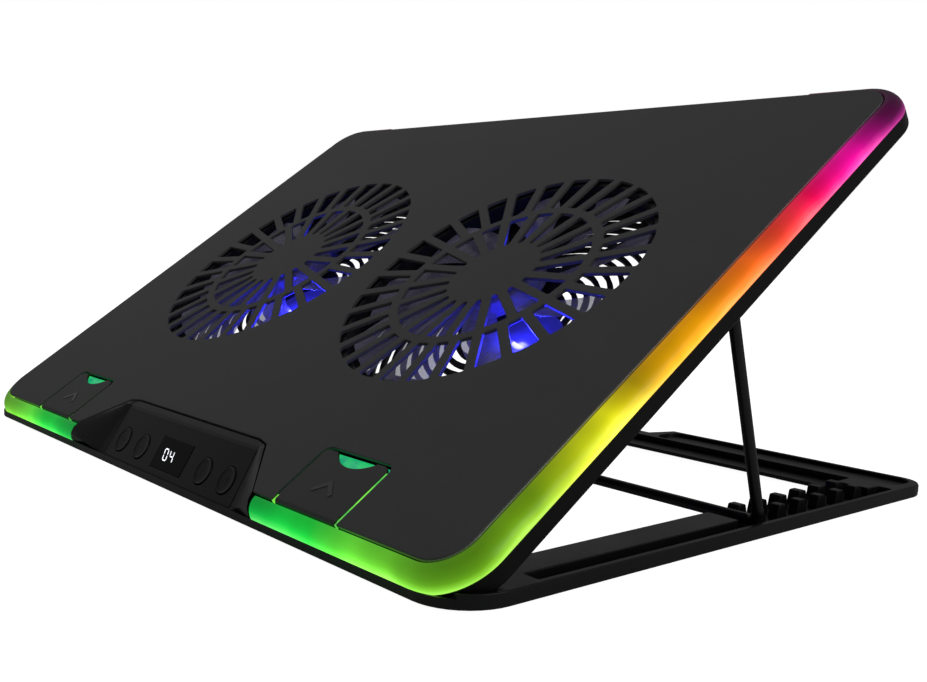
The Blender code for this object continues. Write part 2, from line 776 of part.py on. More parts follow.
def make_electrics(deck):
    """The socket board at the back and the cables inside the deck."""
    box("usb_board", (-0.078, 0.2540, -0.0124), (-0.024, 0.2740, -0.0114), deck, "board_green")
    for index, x in enumerate((-0.062, -0.040)):
        socket = box(
            f"usb_socket_{index + 1}",
            (x - 0.0066, 0.2630, -0.0111),
            (x + 0.0066, 0.2766, -0.0053),
            deck,
            "steel",
        )
        mouth = box(f"usb_mouth_{index}", (x - 0.0060, 0.2660, -0.0105), (x + 0.0060, 0.29, -0.0059), deck)
        tongue = box(f"usb_tongue_{index}", (x - 0.0052, 0.2655, -0.0079), (x + 0.0052, 0.2755, -0.0064), deck)
        cut(socket, mouth)
        join(socket, tongue)
    floor = FLOOR_THICK - DECK_THICK + 0.0010
    tube(
        "main_cable",
        [(-0.030, 0.2535, floor), (-0.012, 0.246, floor), (-0.0015, 0.225, floor), (0.0, 0.17, floor), (0.0, 0.012, floor)],
        0.0006,
        deck,
        "cable_black",
    )
    for side, name in ((-1, "left"), (1, "right")):
        points = [(0.0086, 0.135), (0.0058, 0.122), (0.0042, 0.105), (0.0042, 0.012)]
        tube(
            name + "_fan_cable",
            [(side * x, y, floor) for x, y in points],
            0.0006,
            deck,
            "cable_black",
        )


def make_prop_brackets(deck):
    """The lugs on the deck that the prop's legs lean beside."""
    floor_top = FLOOR_THICK - DECK_THICK
    for side, name in ((-1, "left"), (1, "right")):
        xs = sorted((side * 0.1820, side * 0.1868))
        bracket = box(
            name + "_prop_bracket",
            (xs[0], 0.1300, floor_top + GAP),
            (xs[1], 0.1388, -0.0060),
            deck,
            "shell_black",
        )
        ends = sorted((side * 0.1850, side * 0.1890))
        stub = drum(name + "_stub", 0.0012, ends[0], ends[1], (0, 0.1345, -0.0100), deck, along="X", sides=12)
        join(bracket, stub)


def tooth_profile():
    """One tooth seen from the side: a low block whose faces lean in towards the top."""
    low, high = LANE_FLOOR - 0.0006, TOOTH_TOP
    return [(-0.0034, low), (0.0034, low), (0.0024, high), (-0.0024, high)]


def make_base():
    """The base: a flat frame with a lane and two rows of teeth in each side rail."""
    corner, inner, outer, notch = 0.0120, *BASE_NOTCH
    outline = rounded_rectangle(-BASE_HALF, BASE_HALF, -0.004, BASE_BACK, corner, 5, 0.018)
    recess = [(outer, BASE_BACK), (inner, notch), (-inner, notch), (-outer, BASE_BACK)]
    outline = outline[:-6] + recess + outline[-6:]
    opening = rounded_rectangle(-BASE_INNER, BASE_INNER, *BASE_OPENING_Y, 0.003, 2)
    base = plate("base_frame", [outline, opening], BASE_BOTTOM, BASE_TOP, None, "shell_black")
    slope = plate("front_slope", [deck_outline(RIM_OUT + GAP)], HINGE_DECK[1] - 0.0002, 0.1, None)
    slope.matrix_world = deck_matrix()
    cut(base, slope, box("front_top", (-0.3, -0.1, LIP_TOP), (0.3, LIP_END, 0.1), None))
    for side, name in ((-1, "left"), (1, "right")):
        lane_x = sorted((side * LANE_X[0], side * LANE_X[1]))
        pocket_x = sorted((side * (BASE_INNER - 0.002), side * (LANE_X[0] + 0.001)))
        lane = box(name + "_lane", (lane_x[0], 0.031, LANE_FLOOR), (lane_x[1], 0.231, 0.02), None)
        pocket = box(name + "_pocket", (pocket_x[0], 0.137, LANE_FLOOR), (pocket_x[1], 0.224, 0.02), None)
        cut(base, lane, pocket)
        for row, (near, far) in enumerate(TOOTH_ROWS):
            for index in range(TOOTH_COUNT):
                join(base, tooth(f"{name}_tooth_{row}_{index}", side, near, far, index))
        make_base_hinge(base, name, side)
    apron = box("apron", (-0.1735, 0.2200, APRON_TOP), (0.1735, RIDGE_Y[0], 0.02), None)
    cut(base, apron)
    for side, name in ((-1, "left"), (1, "right")):
        xs = sorted((side * (outer + WALL_DEPTH), side * (BASE_HALF - 0.0100)))
        low = (xs[0], RIDGE_Y[1], TROUGH_TOP)
        cut(base, box(name + "_trough", low, (xs[1], BASE_BACK - WALL_DEPTH, 0.02), None))


def tooth(name, side, near, far, index):
    """One tooth, drawn from the side and laid across the rail."""
    work_plate = plate(name, [tooth_profile()], near, far, None)
    turn = Matrix(((0, 0, side, 0), (1, 0, 0, TOOTH_FIRST + TOOTH_PITCH * index), (0, 1, 0, 0), (0, 0, 0, 1)))
    mesh = work_plate.data
    mesh.transform(turn)
    work = bmesh.new()
    work.from_mesh(mesh)
    bmesh.ops.recalc_face_normals(work, faces=work.faces)
    work.to_mesh(mesh)
    work.free()
    return work_plate


def make_base_hinge(base, name, side):
    """The base's knuckle, room for the shell's ears beside it, and the steel pin."""
    centre = (side * HINGE_X, HINGE_Y, HINGE_Z)
    for index, (low, high) in enumerate(((-0.0165, -0.008), (0.008, 0.0165))):
        cut(base, drum(f"{name}_ear_room_{index}", 0.0036, low, high, centre, None, along="X", sides=20))
    join(base, drum(name + "_knuckle", 0.0032, -0.0080, 0.0080, centre, None, along="X", sides=20))
    cut(base, drum(name + "_knuckle_bore", 0.0011, -0.02, 0.02, centre, None, along="X", sides=12))
    drum(name + "_hinge_pin", 0.0010, -0.0155, 0.0155, centre, None, "steel", "X", 12)


def make_feet():
    places = ((-0.150, 0.0255), (0.150, 0.0255), (-0.150, 0.2335), (0.150, 0.2335))
    names = ("front_left_foot", "front_right_foot", "rear_left_foot", "rear_right_foot")
    for name, (x, y) in zip(names, places):
        outline = rounded_rectangle(x - 0.012, x + 0.012, y - 0.0040, y + 0.0040, 0.0039, 4)
        plate(name, [outline], 0.0, BASE_BOTTOM - GAP, None, "rubber")


def make_prop():
    """The wire prop: a crossbar lying in the notches and two legs that lean forward."""
    bend, steps = 0.0050, 4
    up = Vector((0, -math.sin(PROP_LEAN), math.cos(PROP_LEAN)))
    foot = Vector((0, PROP_Y, PROP_Z))
    hinge = empty("prop_axis", foot, (0, 0, 0))
    right = [Vector((PROP_X, 0, 0)) + up * PROP_LENGTH, Vector((PROP_X, 0, 0)) + up * bend]
    for step in range(1, steps + 1):
        angle = math.pi / 2 * step / steps
        right.append(Vector((PROP_X - bend + bend * math.cos(angle), 0, 0)) + up * (bend - bend * math.sin(angle)))
    left = [Vector((-point.x, point.y, point.z)) for point in reversed(right)]
    tube("prop_wire", right + left, PROP_RADIUS, hinge, "prop_black", 12)


def deck_matrix():
    """Where the deck's own frame stands: tilted about the hinge at the front."""
    turn = Matrix.Rotation(TILT, 4, "X")
    hinge = Vector((0, HINGE_Y, HINGE_Z))
    return Matrix.Translation(hinge - turn @ Vector((0, *HINGE_DECK))) @ turn


def centre_on_footprint():
    """Moves the whole object so that the middle of its bounding box stands over the origin."""
    bpy.context.view_layer.update()
    graph = bpy.context.evaluated_depsgraph_get()
    ys = []
    for part in bpy.data.collections[PARTS].objects:
        if part.type == "MESH":
            world = part.matrix_world
            ys += [(world @ corner.co).y for corner in part.evaluated_get(graph).data.vertices]
    middle = (min(ys) + max(ys)) / 2
    for group in (PARTS, CUTTERS):
        for part in bpy.data.collections[group].objects:
            if part.parent is None:
                part.location.y -= middle


def main():
    clear_scene()
    make_collections()
    tilt = deck_matrix()
    deck = empty("deck_frame", tilt.to_translation(), tilt.to_euler())
    bpy.context.view_layer.update()
    make_top_plate(deck)
    make_bottom_shell(deck)
    make_light_guides(deck)
    make_control_panel(deck)
    make_stoppers(deck)
    make_fans(deck)
    make_electrics(deck)
    make_screws(deck)
    make_prop_brackets(deck)
    make_base()
    make_feet()
    make_prop()
    centre_on_footprint()


main()
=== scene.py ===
"""The looks of the laptop cooling pad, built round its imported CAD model.

The deck's pieces are drawn in the deck's own frame: x to the right, y from the plate's front
edge to the back and z up from the plate's top. The base's pieces are drawn as they stand.
"""

import json
import math

import bmesh
import bpy
from mathutils import Matrix, Vector


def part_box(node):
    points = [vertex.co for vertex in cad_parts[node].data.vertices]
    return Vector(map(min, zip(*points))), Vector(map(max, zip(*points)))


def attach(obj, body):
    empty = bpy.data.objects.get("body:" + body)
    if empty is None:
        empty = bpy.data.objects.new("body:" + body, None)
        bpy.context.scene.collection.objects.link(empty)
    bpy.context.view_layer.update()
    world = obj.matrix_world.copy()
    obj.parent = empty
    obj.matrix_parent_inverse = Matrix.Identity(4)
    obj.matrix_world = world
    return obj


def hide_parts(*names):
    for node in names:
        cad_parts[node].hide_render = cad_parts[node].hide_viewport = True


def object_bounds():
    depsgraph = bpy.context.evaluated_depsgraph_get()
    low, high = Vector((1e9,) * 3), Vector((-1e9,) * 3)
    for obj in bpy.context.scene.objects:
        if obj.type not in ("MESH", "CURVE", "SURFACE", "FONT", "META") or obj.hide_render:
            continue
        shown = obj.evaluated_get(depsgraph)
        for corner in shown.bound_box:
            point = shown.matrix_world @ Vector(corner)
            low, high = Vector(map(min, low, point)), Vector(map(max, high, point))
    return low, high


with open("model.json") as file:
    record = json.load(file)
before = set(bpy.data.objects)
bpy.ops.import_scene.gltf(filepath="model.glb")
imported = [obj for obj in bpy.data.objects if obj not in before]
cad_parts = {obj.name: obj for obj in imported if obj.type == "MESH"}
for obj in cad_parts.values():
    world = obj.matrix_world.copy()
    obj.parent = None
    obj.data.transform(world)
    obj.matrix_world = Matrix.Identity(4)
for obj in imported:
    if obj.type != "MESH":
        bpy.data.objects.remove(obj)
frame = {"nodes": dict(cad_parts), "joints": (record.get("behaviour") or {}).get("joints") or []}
cad_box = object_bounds()

# Where the frame puts things
TILT = math.radians(34.7)
HINGE = Vector(next(joint["pos_m"] for joint in frame["joints"] if joint["name"] == "deck_tilt"))
HINGE_IN_DECK = Vector((0, 0.0101, -0.0144))
DECK = Matrix.Translation(HINGE) @ Matrix.Rotation(TILT, 4, "X")
DECK = DECK @ Matrix.Translation(-HINGE_IN_DECK)
BASE_BACK = 0.2565
BASE_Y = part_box("base_frame")[1].y - BASE_BACK
BASE = Matrix.Translation((0, BASE_Y, 0))

# Deck
PLATE_WIDTH = 0.380
PLATE_DEPTH = 0.270
PLATE_CORNER = 0.0135
PLATE_THICK = 0.0016
RIM_OUT = 0.0069
RIM_DROP = 0.0075
RIM_START = 0.0838
GUIDE_START = 0.0008
GUIDE_THICK = 0.0016
DECK_THICK = 0.0143
FLOOR_THICK = 0.0016
WALL_THICK = 0.0020
SHELL_EDGE = 0.0012
GAP = 0.0003
# Section of the light grey strip painted along the plate's edge as its highlight line
HIGHLIGHT_SECTION = (
    (-0.0004, -0.0014), (0.00008, -0.0014), (0.00008, -0.0008), (-0.00006, -0.0005), (-0.0004, -0.0005),
)
RIM_END = 0.1504
REAR_WALL = ((-0.1500, 0.2735, -0.0131), (0.1500, 0.2754, -0.0036))
REAR_LEDGE = ((-0.1500, 0.2660, -0.0050), (0.1500, 0.2740, -0.0036))
SKIRT = (-0.0030, -0.0016, -0.0126, -0.0022)
SEAL = (-0.0016, 0.0009, -0.0030, -0.0021)
SKIRT_START = 0.0400
FOLD_WALL = ((0.1732, 0.1200, -0.0128), (0.1720, 0.2300, -0.0020))

# Grilles, fans and vents
FAN_X = 0.0808
FAN_Y = 0.1350
SLOT_RINGS = ((0.0210, 0.0437, 20, 0.5), (0.0480, 0.0709, 30, 0.0))
BAR_WIDTH = 0.0043
SLOT_CORNER = 0.0013
VENT_CENTRE = (0.0184, -0.0136)
VENT_FIRST = 0.0228
VENT_PITCH = 0.0049
VENT_RINGS = 13
VENT_WIDTH = 0.0028
VENT_REACH = (0.0235, 0.0655)
VENT_RIB = 0.0024
HUB_RADIUS = 0.0200
BLADE_TIP = 0.0662
BLADE_COUNT = 9
BLADE_TURN = math.radians(12)
BLADE_SWEEP = math.radians(26)
BLADE_THICK = 0.0010
BLADE_MIDDLE = -0.0067
BLADE_PITCH = 0.0052
BLADE_CROWN = 0.0006
LENS_PLACE = (-39, 0.0460)
BLUE_LAMPS = (
    ("_blue_lamp", LENS_PLACE, -0.0095, 0.130, (0.02, 0.02, 1.0)),
    ("_far_lamp", (118, 0.0340), -0.0050, 0.004, (0.02, 0.03, 1.0)),
)

# Control panel
PANEL_SLOPE = math.radians(24.4)
PANEL_ROW = (0.0040, -0.0073)
BEZEL_BACK = (0.0540, 0.0219)
BEZEL_SHOULDER = (0.0610, 0.0204)
BEZEL_FRONT = (0.0812, 0.0)
BEZEL_CHEEK = 0.0850
BEZEL_BORDER = (
    (0.0585, 0.0180, 0.10), (0.0588, 0.0140, 0.32), (0.0590, 0.0100, 0.54), (0.0592, 0.0060, 0.77),
)
BUTTON_XS = (-0.0478, -0.0287, 0.0287, 0.0478)
BUTTON_RADIUS = 0.0057
BUTTON_HOLE = 0.0060
WINDOW_SIZE = (0.0280, 0.0150)
WINDOW_UP = 0.0010
FACE_THICK = 0.0012
MARK_THICK = 0.00012

# Stoppers
STOPPER_X = 0.1142
STOPPER_RECESS = (0.0203, 0.0282)
STOPPER_GAP = 0.0013
STOPPER_AXIS = (0.0012, -0.0015)
STOPPER_THICK = 0.0014
STOPPER_CORNER = 0.0040
BARREL_RADIUS = 0.00138
THUMB_NOTCH = (0.0120, 0.0050)

# Base and prop
BASE_HALF = 0.1980
BASE_FRONT = -0.0025
BASE_BOTTOM = 0.0012
BASE_TOP = 0.0061
BASE_CORNERS = (0.0200, 0.0120)
BASE_INNER = 0.1748
BASE_OPENING_Y = (0.0340, 0.2240)
LANE_X = (0.1888, 0.1954)
LANE_Y = (0.031, 0.231)
POCKET_Y = (0.137, 0.224)
LANE_FLOOR = 0.0023
LIP_TOP = 0.0045
LIP_END = 0.0030
TOOTH_FIRST = 0.1510
TOOTH_PITCH = 0.0132
TOOTH_COUNT = 6
TOOTH_ROWS = ((0.1748, 0.1800), (0.1842, 0.1884))
TOOTH_TOP = 0.0078
TOOTH_FOOT = 0.0036
TOOTH_CREST = 0.0020
BASE_NOTCH = (0.0560, 0.0610, 0.2430)
WALL_DEPTH = 0.0026
RIDGE_Y = (0.2352, 0.2372)
APRON_TOP = 0.0032
TROUGH_TOP = 0.0044
HINGE_X = 0.1300
HINGE_Y = 0.0165
HINGE_Z = 0.0074
KNUCKLE_RADIUS = 0.0032
KNUCKLE_HALF = 0.0080
EAR_SPAN = (0.0083, 0.0165)
HINGE_ROOM = (0.0088, 0.0038)
FOLD_START = (0.1290, 0.1405)
PROP_Y = 0.1450
PROP_Z = 0.0048
PROP_X = 0.1916
PROP_LENGTH = 0.0815
PROP_LEAN = math.radians(15.9)
PROP_RADIUS = 0.0022
PROP_BEND = 0.0050

# Camera
CAMERA_PLACE = (0.4217, -0.1906, 0.1086)
CAMERA_TURN = (84.06, -1.50, 50.09)
CAMERA_LENS = 42.96

# Floor and studio: how much light each gives the object, and how bright it looks to the camera
FLOOR_LIGHT = (0.0, 0.97)
STUDIO_LIGHT = (0.17, 1.0)
FLOOR_REACH = 9.0
AREA_LIGHTS = (
    ("key", (-1.6, 0.5, 1.5), (0, 0.02, 0.08), 2.6, 3.2),
    ("side", (1.2, 0.2, 0.5), (0.15, 0.1, 0.03), 0.5, 2.6),
)

# Colours and brightness of the lit rim, walked from beside the panel round the front corner to the
# back corner. The place is a share of that walk.
RIM_COLOURS = (
    (0.00, (0.00, 0.52, 0.06)), (0.10, (0.01, 0.68, 0.05)), (0.17, (0.18, 0.90, 0.05)),
    (0.28, (0.24, 0.72, 0.02)), (0.37, (0.34, 0.66, 0.01)), (0.42, (0.62, 0.74, 0.01)),
    (0.47, (0.80, 0.78, 0.01)), (0.53, (0.86, 0.46, 0.00)), (0.60, (1.00, 0.40, 0.00)),
    (0.68, (1.00, 0.18, 0.01)), (0.74, (1.00, 0.06, 0.03)), (0.80, (1.00, 0.00, 0.10)),
    (0.86, (1.00, 0.00, 0.34)), (1.00, (0.84, 0.00, 0.58)),
)
RIM_POOLS = (
    (0.00, 0.80), (0.05, 1.00), (0.15, 1.05), (0.21, 0.72), (0.27, 0.46), (0.37, 0.52), (0.43, 0.92),
    (0.47, 1.00), (0.51, 0.52), (0.55, 0.95), (0.60, 1.00), (0.64, 0.72), (0.69, 1.00), (0.73, 0.84),
    (0.78, 1.00), (0.87, 1.00), (0.91, 0.50), (0.95, 0.18), (1.00, 0.07),
)
RIM_TAIL = ((0.89, 1.00), (1.00, 0.30))

# How the rim fades towards its run across the back, as a share of the deck's depth
RIM_REAR = ((0.955, 1.00), (0.99, 0.10))

# From the rim's top to its bottom edge: brightness, evenness and how pale it is
RIM_BAND = ((0.05, 0.55), (0.36, 0.80), (0.62, 1.20), (0.95, 1.45))
RIM_EVEN = ((0.55, 0.00), (0.90, 0.55))
RIM_PALE = ((0.55, (0.00, 0.00, 0.00)), (0.78, (0.12, 0.12, 0.08)), (1.00, (0.42, 0.38, 0.30)))

# The blue light on a lens, from its middle outwards
LAMP_REACH = 0.0200
LAMP_COLOURS = (
    (0.20, (0.50, 0.50, 1.80)), (0.34, (0.07, 0.07, 1.10)), (0.70, (0.02, 0.02, 0.60)),
    (1.00, (0.01, 0.01, 0.16)),
)
WHITE = (1.0, 1.0, 1.0, 1.0)
SIDES = ((-1, "left"), (1, "right"))


# ---- node helpers


def tune(thing, **settings):
    """Sets several of a thing's properties."""
    for key, value in settings.items():
        setattr(thing, key, value)
    return thing


def new_material(name):
    made = tune(bpy.data.materials.new(name), use_nodes=True)
    return made, made.node_tree, made.node_tree.nodes["Principled BSDF"]


def plug(socket, value):
    """Links an input to another node's output, or sets it to a plain value."""
    if isinstance(value, bpy.types.NodeSocket):
        socket.id_data.links.new(value, socket)
    else:
        socket.default_value = value


def feed(node, **inputs):
    for key, value in inputs.items():
        plug(node.inputs[key.replace("_", " ")], value)


def math_node(tree, operation, *values):
    """A Math node's output. Each value is a number or a socket."""
    node = tune(tree.nodes.new("ShaderNodeMath"), operation=operation)
    for socket, value in zip(node.inputs, values):
        plug(socket, value)
    return node.outputs[0]


def ramp(tree, value, stops):
    """A colour ramp's output, from stops of (place, colour)."""
    node = tree.nodes.new("ShaderNodeValToRGB")
    marks = node.color_ramp.elements
    while len(marks) < len(stops):
        marks.new(0.5)
    for mark, (place, colour) in zip(marks, stops):
        mark.position = place
        mark.color = (*colour, 1.0)
    feed(node, Fac=value)
    return node.outputs["Color"]


def grey(value):
    return (value, value, value)


def grey_ramp(tree, value, stops):
    return ramp(tree, value, [(place, grey(level)) for place, level in stops])


def blend(tree, value, low, high):
    """From one colour to the other over the middle of a noise's range."""
    return ramp(tree, value, ((0.3, low), (0.7, high)))


def grey_blend(tree, value, low, high):
    return blend(tree, value, grey(low), grey(high))


def mix(tree, first, second, factor=1.0, mode="MULTIPLY"):
    """Two colours mixed; the second and the factor can be plain values."""
    node = tune(tree.nodes.new("ShaderNodeMix"), data_type="RGBA", blend_type=mode)
    feed(node, Factor=factor, A=first, B=second)
    return node.outputs["Result"]


def object_coordinates(tree):
    return tree.nodes.new("ShaderNodeTexCoord").outputs["Object"]


def noise(tree, scale, detail=3.0, rough=0.55, vector=None):
    node = tree.nodes.new("ShaderNodeTexNoise")
    place = vector or object_coordinates(tree)
    feed(node, Scale=scale, Detail=detail, Roughness=rough, Vector=place)
    return node.outputs["Fac"]


def bump(tree, shader, height, strength, distance):
    node = tree.nodes.new("ShaderNodeBump")
    feed(node, Strength=strength, Distance=distance, Height=height)
    feed(shader, Normal=node.outputs["Normal"])


def textured(name, colour, rough, grain, depth, metallic=0.0, spread=0.08, mottle=0.15, shine=0.5):
    """A moulded or coated finish: fine grain in the surface, colour and gloss that vary a little."""
    made, tree, shader = new_material(name)
    place = object_coordinates(tree)
    broad = noise(tree, 28.0, 4.0, 0.6, place)
    fine = noise(tree, grain, 3.0, 0.6, place)
    dark, light = ([c * share for c in colour] for share in (1 - mottle, 1 + mottle))
    total = math_node(tree, "MULTIPLY_ADD", fine, 0.5, math_node(tree, "MULTIPLY", broad, 0.5))
    gloss = grey_blend(tree, total, rough - spread, rough + spread)
    feed(shader, Base_Color=blend(tree, broad, dark, light), Roughness=gloss)
    feed(shader, Metallic=metallic, Specular_IOR_Level=shine)
    bump(tree, shader, fine, 0.35, depth)
    return made


# ---- materials


def rim_light(tree, share, level, rear):
    """The rim's hue along the walk, and its light: paler below, in bright and dim stretches."""
    hue = ramp(tree, share, RIM_COLOURS)
    stretches = grey_ramp(tree, share, RIM_POOLS)
    pool = mix(tree, stretches, WHITE, grey_ramp(tree, level, RIM_EVEN), "MIX")
    pool = mix(tree, mix(tree, pool, grey_ramp(tree, share, RIM_TAIL)), rear)
    deep = mix(tree, hue, grey_ramp(tree, level, RIM_BAND))
    pale = mix(tree, mix(tree, hue, WHITE, 0.45, "MIX"), ramp(tree, level, RIM_PALE))
    return hue, mix(tree, mix(tree, deep, pale, 1.0, "ADD"), pool)


def rim_material():
    """The lit rim: hue and brightness change along it, deep in its upper band and bright below."""
    made, tree, shader = new_material("rim_glow")
    split = tree.nodes.new("ShaderNodeSeparateXYZ")
    feed(split, Vector=object_coordinates(tree))
    x, y, z = split.outputs
    half, start = PLATE_WIDTH / 2, BEZEL_CHEEK
    across = math_node(tree, "MINIMUM", math_node(tree, "ABSOLUTE", x), half)
    along = math_node(tree, "MAXIMUM", y, 0.0)
    walk = math_node(tree, "SUBTRACT", math_node(tree, "ADD", across, along), start)
    share = math_node(tree, "DIVIDE", walk, half - start + PLATE_DEPTH)
    rear = grey_ramp(tree, math_node(tree, "DIVIDE", y, PLATE_DEPTH + RIM_OUT), RIM_REAR)
    uneven = math_node(tree, "SUBTRACT", noise(tree, 34.0, 2.0, 0.5), 0.5)
    cloud = math_node(tree, "MULTIPLY", uneven, 0.8)
    level = math_node(tree, "ADD", math_node(tree, "DIVIDE", z, -RIM_DROP), cloud)
    hue, light = rim_light(tree, share, level, rear)
    body = mix(tree, hue, grey_ramp(tree, cloud, ((0.0, 0.03), (1.0, 0.05))))
    feed(shader, Base_Color=body, Emission_Color=light, Emission_Strength=1.0)
    feed(shader, Roughness=grey_blend(tree, noise(tree, 300.0), 0.30, 0.40), Specular_IOR_Level=0.2)
    bump(tree, shader, noise(tree, 900.0), 0.1, 0.00005)
    return made


def smoke_material():
    """Smoked clear plastic: part of the light goes through, and a faint painted glow in its own tint
    lightens the blades.
    """
    made, tree, shader = new_material("fan_smoke")
    place = object_coordinates(tree)
    streaks = noise(tree, 60.0, 3.0, 0.5, place)
    tint = blend(tree, streaks, (0.20, 0.18, 0.30), (0.30, 0.28, 0.42))
    feed(shader, Base_Color=tint, Roughness=grey_blend(tree, streaks, 0.16, 0.28), Alpha=0.52)
    # Painted glow: the blades give off a little light in their own tint, which lightens them against the
    # dark inside
    feed(shader, Emission_Color=tint, Emission_Strength=0.055)
    bump(tree, shader, noise(tree, 700.0, 2.0, 0.5, place), 0.08, 0.00004)
    return made


def glow_material(name, colour, strength, edge=None):
    """A lit plastic lens with a dimmer tint in part of its grain."""
    made, tree, shader = new_material(name)
    dim = [c * 0.75 for c in (edge or colour)]
    tint = ramp(tree, noise(tree, 120.0), ((0.3, dim), (0.65, colour)))
    feed(shader, Base_Color=tint, Emission_Color=tint, Emission_Strength=strength, Roughness=0.3)
    bump(tree, shader, noise(tree, 900.0), 0.1, 0.00004)
    return made


def lamp_material():
    """A pool of blue light: nearly white in the middle, fading outwards."""
    made, tree, shader = new_material("led_blue")
    length = tune(tree.nodes.new("ShaderNodeVectorMath"), operation="LENGTH")
    plug(length.inputs[0], object_coordinates(tree))
    uneven = math_node(tree, "MULTIPLY", noise(tree, 160.0), 0.006)
    reach = math_node(tree, "ADD", length.outputs["Value"], uneven)
    tint = ramp(tree, math_node(tree, "DIVIDE", reach, LAMP_REACH), LAMP_COLOURS)
    gloss = grey_blend(tree, noise(tree, 500.0), 0.3, 0.5)
    feed(shader, Base_Color=(0.01, 0.01, 0.02, 1.0), Roughness=gloss)
    feed(shader, Emission_Color=tint, Emission_Strength=1.0)
    bump(tree, shader, noise(tree, 700.0), 0.1, 0.00004)
    return made


def steel_material():
    made, tree, shader = new_material("steel")
    grain = noise(tree, 400.0, 4.0, 0.6)
    tone, gloss = grey_blend(tree, grain, 0.42, 0.60), grey_blend(tree, grain, 0.22, 0.36)
    feed(shader, Base_Color=tone, Roughness=gloss, Metallic=1.0)
    bump(tree, shader, grain, 0.15, 0.00003)
    return made


MATERIAL = {
    "plate": textured("plate_coat", (0.070, 0.070, 0.071), 0.56, 5200, 0.00006, 0.0, shine=0.36),
    "shell": textured("shell_plastic", (0.003, 0.003, 0.003), 0.42, 2600, 0.00008, shine=0.18),
    "base": textured("base_plastic", (0.005, 0.005, 0.006), 0.40, 2400, 0.00008, shine=0.30),
    "bezel": textured("bezel_plastic", (0.005, 0.005, 0.006), 0.34, 3000, 0.00003, shine=0.40),
    "face": textured("panel_gloss", (0.003, 0.003, 0.004), 0.22, 1800, 0.00001, shine=0.28),
    "window": textured("window_gloss", (0.001, 0.001, 0.001), 0.14, 600, 0.00001, spread=0.03, shine=0.10),
    # A light grey strip painted along the plate's edge as its highlight line
    "edge": textured("plate_edge_highlight", (0.30, 0.30, 0.31), 0.38, 2200, 0.00002, 0.5),
    "mark": textured("flap_mark", (0.034, 0.034, 0.035), 0.35, 1800, 0.00002),
    "ring": textured("button_ring", (0.022, 0.022, 0.024), 0.30, 1800, 0.00001),
    "flap": textured("flap_coat", (0.050, 0.050, 0.051), 0.56, 4200, 0.00005, 0.1),
    "prop": textured("prop_coat", (0.010, 0.010, 0.011), 0.34, 1500, 0.00003, 0.3),
    "rubber": textured("foot_rubber", (0.018, 0.018, 0.018), 0.80, 1400, 0.00010),
    "inside": textured("inside_plastic", (0.006, 0.006, 0.007), 0.55, 1800, 0.00005),
    "board": textured("board_green", (0.015, 0.14, 0.05), 0.45, 500, 0.00004, mottle=0.3),
    "strip": textured("strip_white", (0.62, 0.62, 0.60), 0.45, 500, 0.00004),
    "cable": textured("cable_sleeve", (0.014, 0.014, 0.014), 0.50, 900, 0.00004),
    "steel": steel_material(),
    "rim": rim_material(),
    "smoke": smoke_material(),
    "green": glow_material("stopper_glow", (0.02, 0.62, 0.14), 0.9, (0.01, 0.40, 0.22)),
    "blue": lamp_material(),
    "lime": glow_material("gap_glow", (0.24, 0.92, 0.08), 0.8, (0.05, 0.60, 0.10)),
    "digit": glow_material("digit_white", (0.90, 0.93, 1.0), 1.6),
    "dim": textured("digit_off", (0.006, 0.006, 0.007), 0.2, 800, 0.00001),
}

NODE_LOOKS = (
    ("foot", "rubber"), ("pin", "steel"), ("case_screw", "steel"), ("usb_socket", "steel"),
    ("led_strip", "strip"), ("board", "board"), ("switch", "inside"), ("fan_frame", "inside"),
    ("fan_motor", "inside"), ("fan_rotor", "smoke"), ("fan_light", "blue"), ("cable", "cable"),
    ("prop_bracket", "shell"), ("prop_wire", "prop"), ("stopper_light", "green"),
    ("light_guide", "rim"), ("display_module", "dim"), ("display_window", "window"),
    ("control_bezel", "bezel"), ("button", "face"), ("stopper", "flap"), ("top_plate", "plate"),
    ("bottom_shell", "shell"), ("base_frame", "base"),
)


def dress_nodes():
    """Gives every node of the frame its finished material."""
    for name, node in frame["nodes"].items():
        look = next(look for word, look in NODE_LOOKS if word in name)
        node.data.materials.clear()
        node.data.materials.append(MATERIAL[look])


# ---- shape helpers


def clean(mesh):
    """Joins points that coincide and turns the faces outwards."""
    work = bmesh.new()
    work.from_mesh(mesh)
    bmesh.ops.remove_doubles(work, verts=work.verts, dist=1e-7)
    bmesh.ops.recalc_face_normals(work, faces=work.faces)
    work.to_mesh(mesh)
    work.free()
    return mesh


def finished(work, name):
    """The mesh that was drawn in the bmesh."""
    mesh = bpy.data.meshes.new(name)
    work.to_mesh(mesh)
    work.free()
    return mesh


def shown(name, data):
    """A new object in the scene."""
    made = bpy.data.objects.new(name, data)
    bpy.context.scene.collection.objects.link(made)
    return made


def link(name, mesh, look, body, matrix, nodes=(), sharp=42):
    """Puts a mesh in the scene, riding on its body."""
    clean(mesh)
    mesh.materials.clear()
    mesh.materials.append(MATERIAL[look])
    mesh.shade_smooth()
    mesh.set_sharp_from_angle(angle=math.radians(sharp))
    made = shown(name, mesh)
    made.matrix_world = matrix
    tune(made.modifiers.new("normals", "WEIGHTED_NORMAL"), keep_sharp=True)
    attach(made, body)
    if nodes:
        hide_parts(*nodes)


def new_curve(name, dimensions, **settings):
    return tune(bpy.data.curves.new(name, "CURVE"), dimensions=dimensions, **settings)


def mesh_of(curve):
    """A curve's surface as a mesh."""
    curve_object = shown(curve.name, curve)
    graph = bpy.context.evaluated_depsgraph_get()
    mesh = bpy.data.meshes.new_from_object(curve_object.evaluated_get(graph))
    bpy.data.objects.remove(curve_object)
    return mesh


def add_spline(curve, points, cyclic):
    spline = curve.splines.new("POLY")
    spline.points.add(len(points) - 1)
    for slot, point in zip(spline.points, points):
        slot.co = (point[0], point[1], point[2] if len(point) > 2 else 0.0, 1.0)
    spline.use_cyclic_u = cyclic


